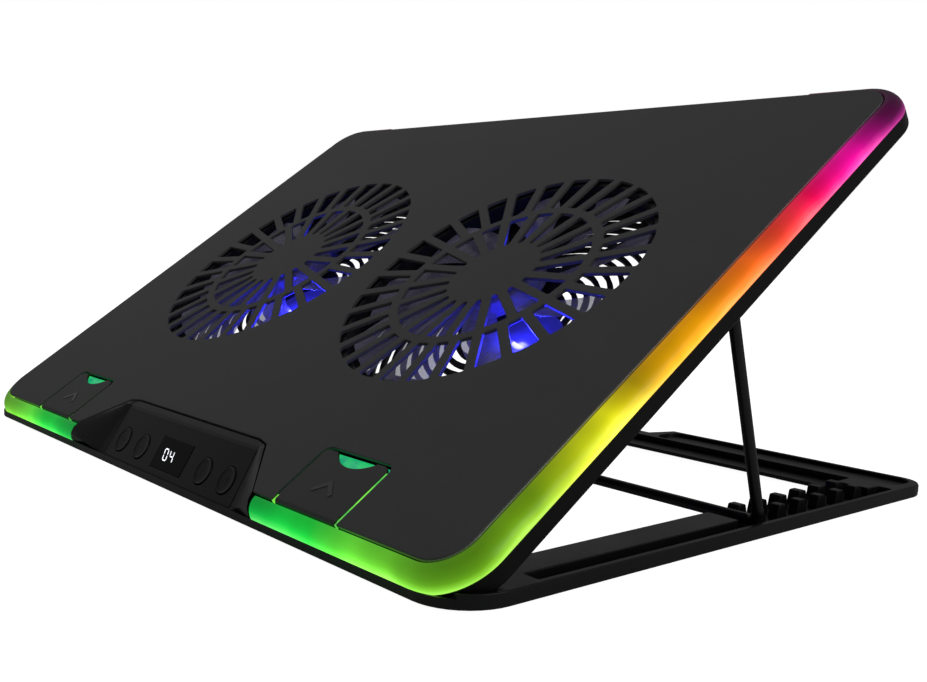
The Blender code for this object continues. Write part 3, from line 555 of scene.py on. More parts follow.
def sheet_mesh(name, loops, low, high, edge=0.0, steps=2):
    """A flat sheet with rounded edges: the first loop is its outline, the others are holes."""
    bevel = {"bevel_depth": edge, "bevel_resolution": steps, "offset": -edge}
    curve = new_curve(name, "2D", fill_mode="BOTH", extrude=(high - low) / 2 - edge, **bevel)
    for loop in loops:
        add_spline(curve, loop, True)
    mesh = mesh_of(curve)
    mesh.transform(Matrix.Translation((0, 0, (high + low) / 2)))
    return mesh


def sweep_mesh(name, profile, path):
    """A section of (outward, up) points carried along a flat path."""
    section = new_curve(name + "_section", "2D")
    add_spline(section, profile, True)
    section_object = bpy.data.objects.new(name + "_section", section)
    bevel = {"bevel_mode": "OBJECT", "bevel_object": section_object}
    curve = new_curve(name, "2D", use_fill_caps=True, **bevel)
    add_spline(curve, path, False)
    mesh = mesh_of(curve)
    bpy.data.objects.remove(section_object)
    return mesh


def tube_mesh(name, points, radius, sides=24):
    bevel = {"bevel_depth": radius, "bevel_resolution": sides // 2 - 2}
    curve = new_curve(name, "3D", use_fill_caps=True, **bevel)
    add_spline(curve, points, False)
    return mesh_of(curve)


def barrel_mesh(x0, x1, y, z, radius):
    """A round bar lying along x."""
    return tube_mesh("barrel", [(x0, y, z), (x1, y, z)], radius)


def arc(centre, radius, start, end, steps):
    points = []
    for step in range(steps + 1):
        angle = math.radians(start + (end - start) * step / steps)
        points.append((centre[0] + radius * math.cos(angle), centre[1] + radius * math.sin(angle)))
    return points


def rounded(points, radius, steps=3):
    """The same outline with its sharp corners rounded off."""
    out = []
    count = len(points)
    for index, point in enumerate(points):
        here = Vector(point)
        before = Vector(points[index - 1]) - here
        after = Vector(points[(index + 1) % count]) - here
        turn = before.angle(after)
        if turn > math.radians(150):
            out.append(tuple(here))
            continue
        cut = min(radius / math.tan(turn / 2), before.length * 0.45, after.length * 0.45)
        start, end = here + before.normalized() * cut, here + after.normalized() * cut
        for step in range(steps + 1):
            t = step / steps
            out.append(tuple(start * (1 - t) ** 2 + here * 2 * t * (1 - t) + end * t * t))
    return out


def rectangle(x0, x1, y0, y1):
    return [(x0, y0), (x1, y0), (x1, y1), (x0, y1)]


def box_mesh(first, second, edge=0.0):
    """A box between two opposite corners."""
    (x0, x1), (y0, y1), (z0, z1) = (sorted(pair) for pair in zip(first, second))
    return sheet_mesh("box", [rectangle(x0, x1, y0, y1)], z0, z1, edge, 1)


def rounded_rectangle(x0, x1, y0, y1, radius, steps=6, front_radius=None):
    front = front_radius or radius
    return (
        arc((x0 + front, y0 + front), front, 180, 270, steps)
        + arc((x1 - front, y0 + front), front, 270, 360, steps)
        + arc((x1 - radius, y1 - radius), radius, 0, 90, steps)
        + arc((x0 + radius, y1 - radius), radius, 90, 180, steps)
    )


def deck_outline(offset, steps):
    """The plate's outline, moved outwards by the offset."""
    half, back = PLATE_WIDTH / 2 + offset, PLATE_DEPTH + offset
    return rounded_rectangle(-half, half, -offset, back, PLATE_CORNER + offset, steps)


def edge_run(steps):
    """Along the plate's right edge, round its front and back corners."""
    half, corner = PLATE_WIDTH / 2, PLATE_CORNER
    front = arc((half - corner, corner), corner, 270, 360, steps)
    return front + arc((half - corner, PLATE_DEPTH - corner), corner, 0, 90, steps)


def mirrored(points):
    """The same points on the other side, in the opposite order."""
    return [(-x, *rest) for x, *rest in reversed(points)]


# ---- deck pieces


def plate_outline():
    """The plate's edge, with its cut-outs for the panel and the stoppers."""
    reach, depth = STOPPER_RECESS
    near, far, corner = STOPPER_X - reach, STOPPER_X + reach, STOPPER_CORNER
    stopper = [(near, 0.0)] + arc((near + corner, depth - corner), corner, 180, 90, 6)
    stopper += arc((far - corner, depth - corner), corner, 90, 0, 6) + [(far, 0.0)]
    panel = [(x + GAP * 1.5, y + GAP) for x, y in (BEZEL_BACK, BEZEL_SHOULDER, BEZEL_FRONT)]
    panel[-1] = (panel[-1][0], 0.0)
    right = panel + stopper + edge_run(12)
    return right + mirrored(right)


def grille_slot(x, y, inner, outer, middle, pitch):
    points = []
    for radius, places in ((inner, (-1, 1)), (outer, (1, 0.5, 0, -0.5, -1))):
        half = pitch / 2 - math.asin(BAR_WIDTH / 2 / radius)
        for place in places:
            angle = middle + half * place
            points.append((x + radius * math.cos(angle), y + radius * math.sin(angle)))
    return rounded(points, SLOT_CORNER, 4)


def make_plate():
    loops = [plate_outline()]
    for side in (-1, 1):
        for inner, outer, count, shift in SLOT_RINGS:
            for index in range(count):
                middle = math.tau * (index + shift) / count
                loops.append(grille_slot(side * FAN_X, FAN_Y, inner, outer, middle, math.tau / count))
    mesh = sheet_mesh("plate_sheet", loops, -PLATE_THICK, 0.0, 0.00030)
    link("plate_sheet", mesh, "plate", "deck", DECK, ["top_plate"])


def make_edge_highlight():
    """A light grey strip painted along the plate's edge as its highlight line, from the right stopper
    round the back to the left one.
    """
    right = [(STOPPER_X + STOPPER_RECESS[0] + 0.0015, 0.0)] + edge_run(14)
    highlight_strip = sweep_mesh("edge_highlight_strip", HIGHLIGHT_SECTION, right + mirrored(right))
    link("edge_highlight_strip", highlight_strip, "edge", "deck", DECK)


def rim_path(side):
    path = [(RIM_START, 0.0)] + edge_run(14) + [(RIM_END, PLATE_DEPTH)]
    return path if side > 0 else mirrored(path)


def rim_curve(inset, start, end, steps):
    """A quarter of an ellipse: the rim's outer face, or its inner face at the inset."""
    wide, high = RIM_OUT - GUIDE_START - inset, RIM_DROP - GUIDE_START - inset
    turns = arc((0, 0), 1.0, start, end, steps)
    return [(GUIDE_START + x * wide, y * high - RIM_DROP) for x, y in turns]


def make_rims():
    section = rim_curve(0.0, 90, 0, 14) + rim_curve(GUIDE_THICK, 0, 90, 10)
    for side, name in SIDES:
        mesh = sweep_mesh(name + "_rim", section, rim_path(side))
        nodes = [name + "_light_guide"]
        link(name + "_rim", mesh, "rim", "deck", DECK, nodes)


def merged(name, meshes):
    """One mesh holding several."""
    work = bmesh.new()
    for mesh in meshes:
        work.from_mesh(mesh)
        bpy.data.meshes.remove(mesh)
    return finished(work, name)


def carved(mesh, *cutters):
    """The mesh with the cutters' volumes taken away."""
    body = shown("carved", clean(mesh))
    tools = []
    for index, cutter in enumerate(cutters):
        tool = shown(f"cutter_{index}", clean(cutter))
        tools.append(tool)
        cut = body.modifiers.new(f"cut_{index}", "BOOLEAN")
        tune(cut, operation="DIFFERENCE", solver="EXACT", object=tool)
    graph = bpy.context.evaluated_depsgraph_get()
    made = bpy.data.meshes.new_from_object(body.evaluated_get(graph))
    for piece in (body, *tools):
        bpy.data.objects.remove(piece)
    return made


def vent_open(x, y):
    """Whether the floor is open here, seen from the fan's centre: clear of motor, rim and struts."""
    radius = math.hypot(x, y)
    off_strut = math.radians(abs(math.degrees(math.atan2(y, x)) % 90 - 45))
    return VENT_REACH[0] < radius < VENT_REACH[1] and radius * off_strut > VENT_RIB


def vent_runs(radius):
    """The stretches of one ring, in degrees about the rings' own centre, where the floor is open."""
    runs, start = [], None
    for angle in range(-180, 181):
        place = math.radians(angle)
        x = VENT_CENTRE[0] + radius * math.cos(place)
        y = VENT_CENTRE[1] + radius * math.sin(place)
        if angle < 180 and vent_open(x, y):
            start = angle if start is None else start
        elif start is not None:
            if math.radians(angle - 1 - start) * radius > 0.008:
                runs.append((start, angle - 1))
            start = None
    return runs


def vent_slots(side):
    """The curved slots in the floor under one fan: arcs of rings that share an offset centre."""
    centre = (side * FAN_X + VENT_CENTRE[0], FAN_Y + VENT_CENTRE[1])
    loops = []
    for ring in range(VENT_RINGS):
        radius = VENT_FIRST + VENT_PITCH * ring
        for start, end in vent_runs(radius):
            steps = max(3, round(math.radians(end - start) * radius / 0.004))
            outer = arc(centre, radius + VENT_WIDTH / 2, start, end, steps)
            loops.append(outer + arc(centre, radius - VENT_WIDTH / 2, end, start, steps))
    return [rounded(loop, 0.0007, 2) for loop in loops]


def under_ground():
    """Everything below the base's underside, in the deck's frame."""
    mesh = box_mesh((-0.3, -0.2, BASE_BOTTOM - 0.05), (0.3, 0.4, BASE_BOTTOM))
    mesh.transform(DECK.inverted())
    return mesh


def side_path(start):
    """Along the plate's edge: up one side, across the back and down the other."""
    half, corner = PLATE_WIDTH / 2, PLATE_CORNER
    right = [(half, start)] + arc((half - corner, PLATE_DEPTH - corner), corner, 0, 90, 10)
    return right + mirrored(right)


def fold_opening():
    """The opening in the floor's right for the prop's leg and the base's teeth when folded."""
    fold = HINGE_IN_DECK.y - HINGE_Y
    leg_end = PROP_Y + PROP_LENGTH + 0.0040 + fold
    tooth_end = TOOTH_FIRST + TOOTH_PITCH * (TOOTH_COUNT - 1) + 0.0050 + fold
    inner, middle, outer = BASE_INNER - 0.0010, LANE_X[0] - 0.0002, LANE_X[1] - 0.0006
    leg_start, tooth_start = FOLD_START
    return [
        (inner, tooth_start), (middle, tooth_start), (middle, leg_start), (outer, leg_start),
        (outer, leg_end), (middle, leg_end), (middle, tooth_end), (inner, tooth_end),
    ]


def ear_meshes(side, axis, radius, inset):
    """The two short barrels beside one knuckle, or the room for them."""
    near, far = EAR_SPAN
    middle = side * HINGE_X
    spans = ((-far + inset, -near - inset), (near + inset, far - inset))
    return [barrel_mesh(middle + low, middle + high, *axis.yz, radius) for low, high in spans]


def shell_wall():
    """The tray's outer wall, with a round lower edge, open where the panel stands."""
    low, top, edge = -DECK_THICK, -RIM_DROP - GAP, SHELL_EDGE
    turn = arc((0, 0), edge, 0, -90, 4)
    section = [(RIM_OUT, top)] + [(RIM_OUT - edge + x, low + edge + y) for x, y in turn]
    section += [(RIM_OUT - WALL_THICK, low), (RIM_OUT - WALL_THICK, top)]
    right = [(BEZEL_CHEEK + 0.0010, 0.0)] + edge_run(14)
    return sweep_mesh("shell_wall", section[::-1], right + mirrored(right))


def shell_floor():
    """The tray's floor, with its vents and the openings that the hinge and the folded prop need."""
    holes = vent_slots(-1) + vent_slots(1)
    wide, deep = HINGE_ROOM
    hinge_y = HINGE_IN_DECK.y
    for side in (-1, 1):
        holes.append([(side * x, y) for x, y in fold_opening()])
        middle = side * HINGE_X
        holes.append(rectangle(middle - wide, middle + wide, hinge_y - deep, hinge_y + deep))
    outline = deck_outline(RIM_OUT - SHELL_EDGE, 12)
    return sheet_mesh("shell_floor", [outline] + holes, -DECK_THICK, -DECK_THICK + FLOOR_THICK)


def make_shell():
    """The tray under the deck, with the block across its back and dark strips that stop stray light."""
    pieces = [carved(mesh, under_ground()) for mesh in (shell_wall(), shell_floor())]
    pieces += [box_mesh(*REAR_WALL, 0.0004), box_mesh(*REAR_LEDGE, 0.0003)]
    for strip in (SKIRT, SEAL):
        pieces.append(sweep_mesh("strip", rectangle(*strip), side_path(SKIRT_START)))
    for side in (-1, 1):
        pieces += ear_meshes(side, HINGE_IN_DECK, KNUCKLE_RADIUS, 0.0002)
        pieces.append(box_mesh(*((side * x, y, z) for x, y, z in FOLD_WALL), 0.0001))
    mesh = merged("shell_tray", pieces)
    link("shell_tray", mesh, "shell", "deck", DECK, ["bottom_shell"], 35)


def base_outline():
    (front, back), steps = BASE_CORNERS, 10
    outline = rounded_rectangle(-BASE_HALF, BASE_HALF, BASE_FRONT, BASE_BACK, back, steps, front)
    inner, outer, notch = BASE_NOTCH
    recess = [(outer, BASE_BACK), (inner, notch), (-inner, notch), (-outer, BASE_BACK)]
    return outline[:-steps - 1] + recess + outline[-steps - 1:]


def base_opening():
    """The open middle of the base with the lanes and tooth pockets beside it, as one hole."""
    inner, (lane, wall) = BASE_INNER, LANE_X
    right = [
        (inner, BASE_OPENING_Y[0]), (inner, POCKET_Y[0]), (lane, POCKET_Y[0]), (lane, LANE_Y[0]),
        (wall, LANE_Y[0]), (wall, LANE_Y[1]), (lane, LANE_Y[1]), (lane, POCKET_Y[1]),
        (inner - 0.001, POCKET_Y[1]), (inner - 0.001, RIDGE_Y[0]),
    ]
    return rounded(right + mirrored(right), 0.0010, 3)


def tooth_mesh(side, near, far, y):
    """One tooth, drawn from the side and laid across the rail."""
    low, high, foot, crest = LANE_FLOOR - 0.0004, TOOTH_TOP, TOOTH_FOOT, TOOTH_CREST
    profile = rounded([(-foot, low), (foot, low), (crest, high), (-crest, high)], 0.0009, 3)
    mesh = sheet_mesh("tooth", [profile], near, far, 0.0003)
    mesh.transform(Matrix(((0, 0, side, 0), (1, 0, 0, y), (0, 1, 0, 0), (0, 0, 0, 1))))
    return mesh


def base_body():
    """The flat frame, cut away where the deck and its hinge ears reach into it."""
    loops = [base_outline(), base_opening()]
    for side in (-1, 1):
        x0, x1 = sorted((side * (BASE_NOTCH[1] + WALL_DEPTH), side * (BASE_HALF - 0.0052)))
        loops.append(rounded_rectangle(x0, x1, RIDGE_Y[1], BASE_BACK - WALL_DEPTH, 0.006, 6))
    body = sheet_mesh("base_body", loops, BASE_BOTTOM, BASE_TOP, 0.00045)
    low = HINGE_IN_DECK.z - 0.0002
    deck_space = sheet_mesh("deck_space", [deck_outline(RIM_OUT + GAP, 14)], low, 0.08)
    deck_space.transform(DECK)
    deck_space.transform(BASE.inverted())
    over_lip = box_mesh((-0.3, -0.1, LIP_TOP), (0.3, LIP_END, 0.1))
    rooms = []
    for side in (-1, 1):
        rooms += ear_meshes(side, Vector((0, HINGE_Y, HINGE_Z)), 0.0037, 0.0)
    return carved(body, deck_space, over_lip, *rooms)


def make_base():
    """The frame with its floors, teeth, knuckles, rear apron and a thin strip under the panel."""
    pieces = [base_body()]
    low, ridge = BASE_BOTTOM + 0.0002, RIDGE_Y[0] + 0.0006
    for side in (-1, 1):
        start = (side * (BASE_INNER + 0.0001), LANE_Y[0] - 0.0005, low)
        pieces.append(box_mesh(start, (side * (BASE_HALF - 0.0015), ridge, LANE_FLOOR)))
        start = (side * BASE_NOTCH[1], RIDGE_Y[0] + 0.0008, low)
        end = (side * (BASE_HALF - 0.0040), BASE_BACK - 0.0010, TROUGH_TOP)
        pieces.append(box_mesh(start, end))
        for near, far in TOOTH_ROWS:
            for index in range(TOOTH_COUNT):
                pieces.append(tooth_mesh(side, near, far, TOOTH_FIRST + TOOTH_PITCH * index))
        x0, x1 = side * HINGE_X - KNUCKLE_HALF, side * HINGE_X + KNUCKLE_HALF
        pieces.append(barrel_mesh(x0, x1, HINGE_Y, HINGE_Z, KNUCKLE_RADIUS))
    apron = ((-0.1765, BASE_OPENING_Y[1], low), (0.1765, ridge, APRON_TOP))
    pieces.append(box_mesh(*apron, 0.0003))
    pieces.append(box_mesh((-0.0880, 0.0002, low), (0.0880, 0.0082, low + 0.0003)))
    rail = merged("base_rail", pieces)
    link("base_rail", rail, "base", "base", BASE, ["base_frame"], 35)


def make_prop():
    """The wire prop: a crossbar lying in the front notch and two legs."""
    bend, steps = PROP_BEND, 10
    up = Vector((0, -math.sin(PROP_LEAN), math.cos(PROP_LEAN)))
    foot = Vector((0, PROP_Y, PROP_Z))
    leg = foot + Vector((PROP_X, 0, 0))
    right = [leg + up * PROP_LENGTH * share for share in (1.0, 0.66, 0.33)]
    for step in range(steps + 1):
        angle = math.pi / 2 * step / steps
        across = PROP_X - bend + bend * math.cos(angle)
        right.append(foot + Vector((across, 0, 0)) + up * bend * (1 - math.sin(angle)))
    mesh = tube_mesh("prop_bar", right + mirrored(right), PROP_RADIUS - 0.00002)
    link("prop_bar", mesh, "prop", "prop", BASE, ["prop_wire"])


def rotor_mesh():
    """A fan's hub cap and its swept blades, about the fan's centre."""
    profile = [
        (0.0, -0.0032), (0.0165, -0.0032), (0.0182, -0.0034), (0.0194, -0.0039),
        (HUB_RADIUS, -0.0048), (HUB_RADIUS, -0.0104), (0.0183, -0.0104), (0.0183, -0.0049),
        (0.0, -0.0049),
    ]
    pieces = [turned_mesh("hub", profile, 48)]
    for index in range(BLADE_COUNT):
        pieces.append(blade_mesh(math.tau * index / BLADE_COUNT + BLADE_TURN))
    return merged("rotor", pieces)


def turned_mesh(name, profile, sides):
    """A closed profile of (radius, height) turned round the z axis."""
    work = bmesh.new()
    rings = []
    for radius, height in profile:
        ring = []
        for step in range(sides if radius else 1):
            angle = math.tau * step / sides
            ring.append(work.verts.new((radius * math.cos(angle), radius * math.sin(angle), height)))
        rings.append(ring)
    for first, second in zip(rings, rings[1:]):
        for step in range(sides):
            after = (step + 1) % sides
            corners = [first[step % len(first)], first[after % len(first)]]
            corners += [second[after % len(second)], second[step % len(second)]]
            unique = list(dict.fromkeys(corners))
            if len(unique) > 2:
                work.faces.new(unique)
    return finished(work, name)


def blade_line(start, along, face_sign, columns=11):
    """Points across one face of a blade, at a share of its length."""
    radius = HUB_RADIUS - 0.0010 + (BLADE_TIP - HUB_RADIUS + 0.0008) * along
    chord = math.radians(27 - 4 * along)
    line = []
    for column in range(columns):
        place = column / (columns - 1) - 0.5
        angle = start + BLADE_SWEEP * along + chord * place
        body = BLADE_THICK / 2 * (1 - (2 * place) ** 4) + 0.0001
        height = BLADE_MIDDLE - BLADE_PITCH * place + BLADE_CROWN * (1 - 4 * place * place)
        line.append((radius * math.cos(angle), radius * math.sin(angle), height + face_sign * body))
    return line


def skin(work, rows):
    """Four-sided faces between each row of points and the next."""
    for first, second in zip(rows, rows[1:]):
        for here in range(len(first) - 1):
            after = here + 1
            work.faces.new((first[here], second[here], second[after], first[after]))


def blade_mesh(start, rows=9):
    """One twisted blade, thin at its leading and trailing edges."""
    work = bmesh.new()
    grids = []
    for face_sign in (1, -1):
        lines = [blade_line(start, row / (rows - 1), face_sign) for row in range(rows)]
        grids.append([[work.verts.new(point) for point in line] for line in lines])
        skin(work, grids[-1])
    for end in (0, -1):
        skin(work, [[line[end] for line in grid] for grid in grids])
        skin(work, [grid[end] for grid in grids])
    return finished(work, "blade")


def off_centre(centre, place):
    """Beside a fan's centre, at an angle in degrees and a radius."""
    angle, radius = place
    turn = Matrix.Rotation(math.radians(angle), 4, "Z")
    return centre @ turn @ Matrix.Translation((radius, 0, 0))


def lamp(name, kind, place, **settings):
    made = shown(name, tune(bpy.data.lights.new(name, kind), **settings))
    made.location = place
    return made


def make_fans():
    # Each fan's blue LED lens, drawn as a wide disc: its fading blue is partly the lit lens and partly a
    # painted pool of the LED's light on the fan's inside
    lens = [(0.0, -0.0109), (0.0180, -0.0109), (0.0180, -0.0111), (0.0, -0.0111)]
    for side, name in SIDES:
        centre = DECK @ Matrix.Translation((side * FAN_X, FAN_Y, 0))
        rotor = [name + "_fan_rotor"]
        link(name + "_blades", rotor_mesh(), "smoke", name + "_fan", centre, rotor)
        spot = off_centre(centre, LENS_PLACE)
        lens_glow_mesh = turned_mesh("lens", lens, 40)
        link(name + "_lens", lens_glow_mesh, "blue", "deck", spot, [name + "_fan_light"])
        for label, place, height, power, colour in BLUE_LAMPS:
            spot = off_centre(centre, place) @ Vector((0, 0, height))
            light = {"energy": power, "color": colour, "shadow_soft_size": 0.003}
            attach(lamp(name + label, "POINT", spot, **light), "deck")


def panel_frame(x=0.0, up=0.0, out=0.0):
    """On the panel's sloping face: x to the right, y up the slope, z out of the face."""
    turn = Matrix.Rotation(PANEL_SLOPE, 4, "X")
    return DECK @ Matrix.Translation((x, *PANEL_ROW)) @ turn @ Matrix.Translation((0, up, out))


def stopper_outline():
    """The flap's outline, with its stepped front corners and its round thumb notch."""
    reach, back = STOPPER_RECESS[0] - STOPPER_GAP, STOPPER_RECESS[1] - STOPPER_GAP
    side, front = reach - 0.0008, STOPPER_AXIS[0] - 0.0004
    corner = 0.003
    half, deep = THUMB_NOTCH
    radius = (half**2 + deep**2) / 2 / deep
    spread = math.degrees(math.asin(half / radius))
    right = [(side, front), (side, 0.0030), (reach, 0.0034)]
    right += arc((reach - corner, back - corner), corner, 0, 90, 6)
    notch = arc((0, back - deep + radius), radius, 270 + spread, 270 - spread, 16)
    return right + notch + mirrored(right)


def chevron_mesh():
    """A plain raised chevron."""
    points = [(-0.0062, 0.0095), (0.0, 0.0150), (0.0062, 0.0095)]
    points += [(0.0050, 0.0082), (0.0, 0.0125), (-0.0050, 0.0082)]
    return sheet_mesh("chevron", [points[::-1]], -0.0001, 0.00022, 0.00008)


def stopper_plate(reach):
    """The flap and the barrel that it turns on."""
    flap = sheet_mesh("flap", [stopper_outline()], -STOPPER_THICK, 0.0, 0.0003)
    half = reach - 0.0010
    return merged("flap", [flap, barrel_mesh(-half, half, *STOPPER_AXIS, BARREL_RADIUS)])


def gap_bars(side, reach, back):
    """Lit bars in the gap round one flap: a long one on its right and short ones at the front."""
    near, far = reach + 0.0003, STOPPER_RECESS[0] - 0.0002
    top, low = (-0.0003 if side > 0 else -0.0009), -0.0022
    return merged("bars", [
        box_mesh((near - 0.0002, 0.0012, low), (far, back - 0.0036, top), 0.0002),
        box_mesh((-near - 0.0004, -0.0002, low), (-near, 0.0030, -0.0006), 0.0001),
        box_mesh((near, -0.0002, low), (near + 0.0005, 0.0030, -0.0004), 0.0001),
    ])


def make_stoppers():
    reach, back = STOPPER_RECESS[0] - STOPPER_GAP, STOPPER_RECESS[1]
    half = reach + 0.0009
    for side, name in SIDES:
        place = DECK @ Matrix.Translation((side * STOPPER_X, 0, 0))
        body, nodes = name + "_flap", [name + "_stopper"]
        link(name + "_flap_plate", stopper_plate(reach), "flap", body, place, nodes)
        link(name + "_chevron", chevron_mesh(), "mark", body, place)
        outline = rounded_rectangle(-half, half, 0.0032, back - 0.0003, 0.0030)
        glow = sheet_mesh("glow", [outline], -0.0037, -0.0025, 0.0003)
        nodes = [name + "_stopper_light"]
        link(name + "_glow_plate", glow, "green", "deck", place, nodes)
        bars = gap_bars(side, reach, back)
        link(name + "_gap_glow", bars, "lime", "deck", place)


SEGMENTS = {"0": "abcdef", "4": "bcfg"}


def segment_mesh(start, end, bar, lean, shift):
    """One bar of a digit, pointed at both ends and leaning."""
    along = (end - start).normalized()
    side = Vector((-along.y, along.x)) * bar / 2
    start, end = start + along * bar * 0.35, end - along * bar * 0.35
    tip = along * bar / 2
    loop = [start, start + tip - side, end - tip - side, end, end - tip + side, start + tip + side]
    return sheet_mesh("segment", [[(shift + p.x + lean * p.y, p.y) for p in loop]], 0.0, 0.00006)


def digit_meshes(text, height=0.0048, wide=0.0030, bar=0.00052, lean=-0.30, step=0.0053):
    """Slanted seven-segment digits, made of thin bars."""
    x, y = wide / 2, height / 2
    bars = {
        "a": ((-x, y), (x, y)), "g": ((-x, 0), (x, 0)), "d": ((-x, -y), (x, -y)),
        "f": ((-x, 0), (-x, y)), "b": ((x, 0), (x, y)),
        "e": ((-x, -y), (-x, 0)), "c": ((x, -y), (x, 0)),
    }
    meshes = []
    for place, letter in enumerate(text):
        shift = (place - (len(text) - 1) / 2) * step
        for key in SEGMENTS[letter]:
            start, end = (Vector(point) for point in bars[key])
            meshes.append(segment_mesh(start, end, bar, lean, shift))
    return meshes


def button_mesh():
    """A button's cap: a shallow dish inside a fine raised ring."""
    inner = ((0.0, 0.00002), (0.55, 0.00004), (0.82, 0.00012), (0.87, 0.00030))
    outer = ((0.93, 0.00034), (0.98, 0.00020), (1.0, 0.0), (1.0, -0.0012), (0.0, -0.0012))
    profile = [(BUTTON_RADIUS * share, height) for share, height in inner + outer]
    return turned_mesh("button", profile, 64)


def icon_meshes(index):
    """Faint marks on the buttons: arrows on the left pair, a fan and a lamp on the right pair."""
    bar = 0.00016
    if index < 2:
        half = 0.0006 if index else -0.0006
        wide = 0.0016
        points = [(-wide, -half + bar), (0.0, half + bar), (wide, -half + bar)]
        points += [(wide, -half - bar), (0.0, half - bar), (-wide, -half - bar)]
        return [sheet_mesh("icon", [points], 0.0, MARK_THICK)]
    count, reach, root = ((3, 0.0022, bar * 4), (8, 0.0017, bar))[index - 2]
    meshes = [ring_mesh(0.00075, 0.00045)]
    for step in range(count):
        fin = sheet_mesh("icon", [[(0.0010, -bar), (reach, -root), (reach, bar)]], 0.0, MARK_THICK)
        fin.transform(Matrix.Rotation(math.tau * step / count, 4, "Z"))
        meshes.append(fin)
    return meshes


def ring_mesh(outer, inner):
    loops = [arc((0, 0), radius, 0, 345, 23) for radius in (outer, inner)]
    return sheet_mesh("ring", loops, 0.0, MARK_THICK)


def face_height(y):
    """The height of the panel's sunken floor at y."""
    return PANEL_ROW[1] - 0.0002 + (y - PANEL_ROW[0]) * math.tan(PANEL_SLOPE)


def bezel_rows():
    """From back to front: the floor's border and the outer edge beside it, for the right half."""
    shoulder = Vector((BEZEL_SHOULDER[0] - GAP, BEZEL_SHOULDER[1] - GAP, -GAP))
    front = Vector((BEZEL_FRONT[0] - GAP, BEZEL_FRONT[1], -GAP))
    x, back, low = BEZEL_BACK[0], BEZEL_BACK[1] - 0.0002, GAP + FLOOR_THICK - DECK_THICK
    rows = [
        ((x, back, -0.0012), shoulder + Vector((0, 0, -0.0009))),
        ((x, back - 0.0004, -0.0004), shoulder),
        ((0.0583, 0.0190, -0.0009), shoulder.lerp(front, 0.04)),
    ]
    for x, y, share in BEZEL_BORDER:
        rows.append(((x, y, face_height(y)), shoulder.lerp(front, share)))
    rows += [
        ((0.0594, 0.0020, face_height(0.0020)), front),
        ((0.0596, -0.0018, face_height(-0.0018)), (0.0822, -0.0030, -0.0007)),
        ((0.0597, -0.0048, face_height(-0.0048)), (0.0831, -0.0056, -0.0025)),
        ((0.0598, -0.0053, -0.0109), (0.0836, -0.0069, -0.0050)),
        ((0.0598, -0.0064, -0.0108), (0.0837, -0.0071, -0.0076)),
        ((0.0598, -0.0070, -0.0113), (BEZEL_CHEEK, -0.0071, -0.0088)),
        ((0.0598, -0.0070, low), (BEZEL_CHEEK, -0.0071, low)),
        ((BEZEL_BACK[0], back, low), (shoulder.x, shoulder.y, low)),
    ]
    return [(Vector(inner), Vector(outer)) for inner, outer in rows]


def bezel_mesh(columns=6):
    """The bezel's skin: a flat middle and two cheeks that swell up to the plate's edge and the rims."""
    work = bmesh.new()
    grid = []
    for index, (inner, outer) in enumerate(bezel_rows()):
        swell = 0.0009 if 3 <= index <= 9 else 0.0
        push = Vector((0, -swell * 0.4, swell)) * 4
        right = []
        for column in range(columns + 1):
            share = column / columns
            right.append(inner.lerp(outer, share) + push * share * (1 - share))
        grid.append([work.verts.new(point) for point in mirrored(right) + right])
    skin(work, grid + grid[:1])
    for column in (0, -1):
        work.faces.new([line[column] for line in grid])
    return finished(work, "bezel")


def button_hole(x=0.0):
    return arc((x, 0), BUTTON_HOLE, 0, 352.5, 47)


def make_bezel():
    """The panel's surround, and the glossy floor with its round holes and window opening."""
    wells = []
    for x in BUTTON_XS:
        well = sheet_mesh("well", [button_hole()], -0.0028, 0.0040)
        well.transform(DECK.inverted() @ panel_frame(x))
        wells.append(well)
    skin = carved(bezel_mesh(), under_ground(), *wells)
    link("panel_surround", skin, "bezel", "deck", DECK, ["control_bezel"], 32)
    outline = [(-0.0588, -0.0090), (0.0588, -0.0090), (0.0578, 0.0150), (-0.0578, 0.0150)]
    holes = [button_hole(x) for x in BUTTON_XS]
    half, tall = WINDOW_SIZE[0] / 2, WINDOW_SIZE[1] / 2
    holes.append(rounded_rectangle(-half, half, WINDOW_UP - tall, WINDOW_UP + tall, 0.0010, 3))
    loops = [rounded(outline, 0.0012, 4)] + holes
    face = sheet_mesh("face", loops, -FACE_THICK, 0.0, 0.00015)
    link("panel_floor", face, "face", "deck", panel_frame())


def make_buttons():
    """Each button's cap, its fine ring and its faint icon."""
    ring = (BUTTON_RADIUS * 0.95, BUTTON_RADIUS * 0.90)
    for number, x in enumerate(BUTTON_XS, 1):
        body, finish = f"key_{number}", "panel_gloss"
        nodes = [f"button_{number}"]
        link(f"button_cap_{number}", button_mesh(), "face", body, panel_frame(x), nodes)
        place = panel_frame(x, 0.0, 0.00030)
        link(f"button_ring_{number}", ring_mesh(*ring), "ring", body, place)
        icon, place = merged("icon", icon_meshes(number - 1)), panel_frame(x, 0.0, 0.00004)
        link(f"button_icon_{number}", icon, "ring", body, place)


def make_panel():
    make_bezel()
    half, tall = WINDOW_SIZE[0] / 2 - GAP, WINDOW_SIZE[1] / 2 - GAP
    loop = rounded_rectangle(-half, half, -tall, tall, 0.0008)
    glass, place = sheet_mesh("glass", [loop], -0.0010, 0.0001, 0.0002), panel_frame(0.0, WINDOW_UP)
    link("window_glass", glass, "window", "deck", place, ["display_window"])
    digits, place = merged("digits", digit_meshes("04")), panel_frame(-0.0026, 0.0006, 0.00012)
    link("lit_digits", digits, "digit", "deck", place, ["display_module"])
    make_buttons()


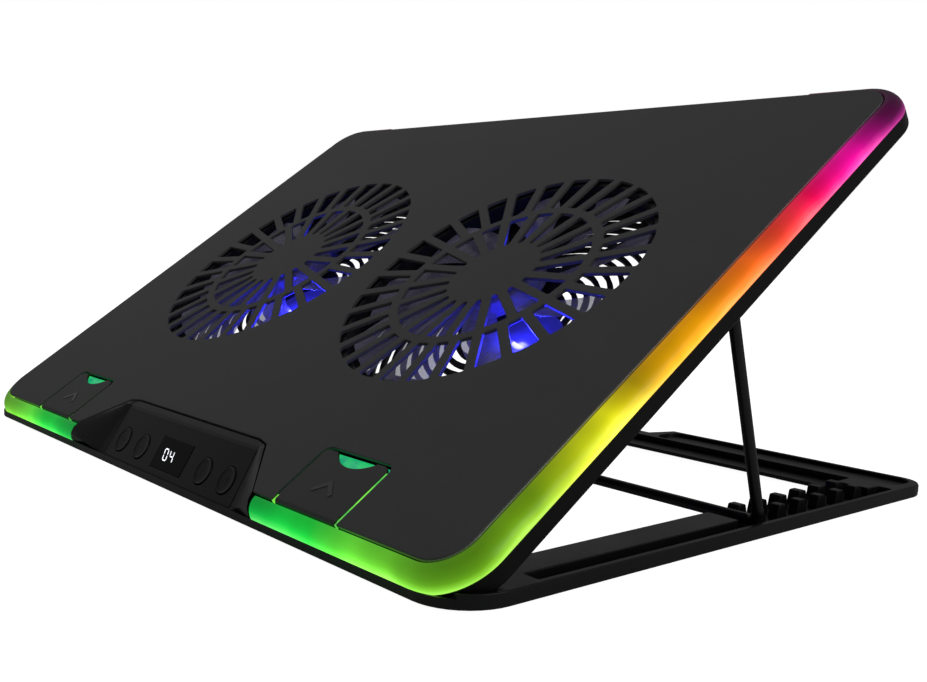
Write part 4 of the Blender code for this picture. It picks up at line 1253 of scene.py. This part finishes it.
def mould_nodes():
    """Rounds the edges of the two fan frames."""
    flat = {"decimate_type": "DISSOLVE", "angle_limit": math.radians(1)}
    bevel = {"limit_method": "ANGLE", "angle_limit": math.radians(28), "harden_normals": True}
    for name in ("left_fan_frame", "right_fan_frame"):
        modifiers = frame["nodes"][name].modifiers
        tune(modifiers.new("weld", "WELD"), merge_threshold=0.00001)
        tune(modifiers.new("flat", "DECIMATE"), **flat)
        tune(modifiers.new("bevel", "BEVEL"), width=0.0004, segments=2, **bevel)


def white_to_camera(tree, levels):
    """The first level for the object, and the second for what the camera sees."""
    dim, bright = levels
    seen = tree.nodes.new("ShaderNodeLightPath").outputs["Is Camera Ray"]
    return math_node(tree, "MULTIPLY_ADD", seen, bright - dim, dim)


def make_floor():
    low, reach = cad_box[0].z - 0.0002, FLOOR_REACH
    mesh = bpy.data.meshes.new("floor")
    corners = [(x, y, low) for x, y in rectangle(-reach, reach, -reach, reach)]
    mesh.from_pydata(corners, [], [(0, 1, 2, 3)])
    floor = shown("floor", mesh)
    made, tree, shader = new_material("floor_paint")
    tone = grey_blend(tree, noise(tree, 1.5), 0.80, 0.82)
    feed(shader, Base_Color=tone, Roughness=0.9, Specular_IOR_Level=0.1)
    feed(shader, Emission_Color=WHITE, Emission_Strength=white_to_camera(tree, FLOOR_LIGHT))
    mesh.materials.append(made)


def make_camera():
    camera = shown("camera", tune(bpy.data.cameras.new("camera"), lens=CAMERA_LENS))
    camera.location = BASE @ Vector(CAMERA_PLACE)
    camera.rotation_euler = [math.radians(a) for a in CAMERA_TURN]
    bpy.context.scene.camera = camera


def make_lights():
    world = tune(bpy.data.worlds.new("studio"), use_nodes=True)
    back = world.node_tree.nodes["Background"]
    feed(back, Color=WHITE, Strength=white_to_camera(world.node_tree, STUDIO_LIGHT))
    bpy.context.scene.world = world
    for name, place, target, size, power in AREA_LIGHTS:
        light = lamp(name, "AREA", place, size=size, energy=power)
        aim = Vector(target) - Vector(place)
        light.rotation_euler = aim.to_track_quat("-Z", "Y").to_euler()
    bpy.context.scene.view_settings.view_transform = "Standard"


def main():
    dress_nodes()
    mould_nodes()
    make_plate()
    make_edge_highlight()
    make_rims()
    make_shell()
    make_base()
    make_prop()
    make_fans()
    make_stoppers()
    make_panel()
    make_floor()
    make_camera()
    make_lights()


main()
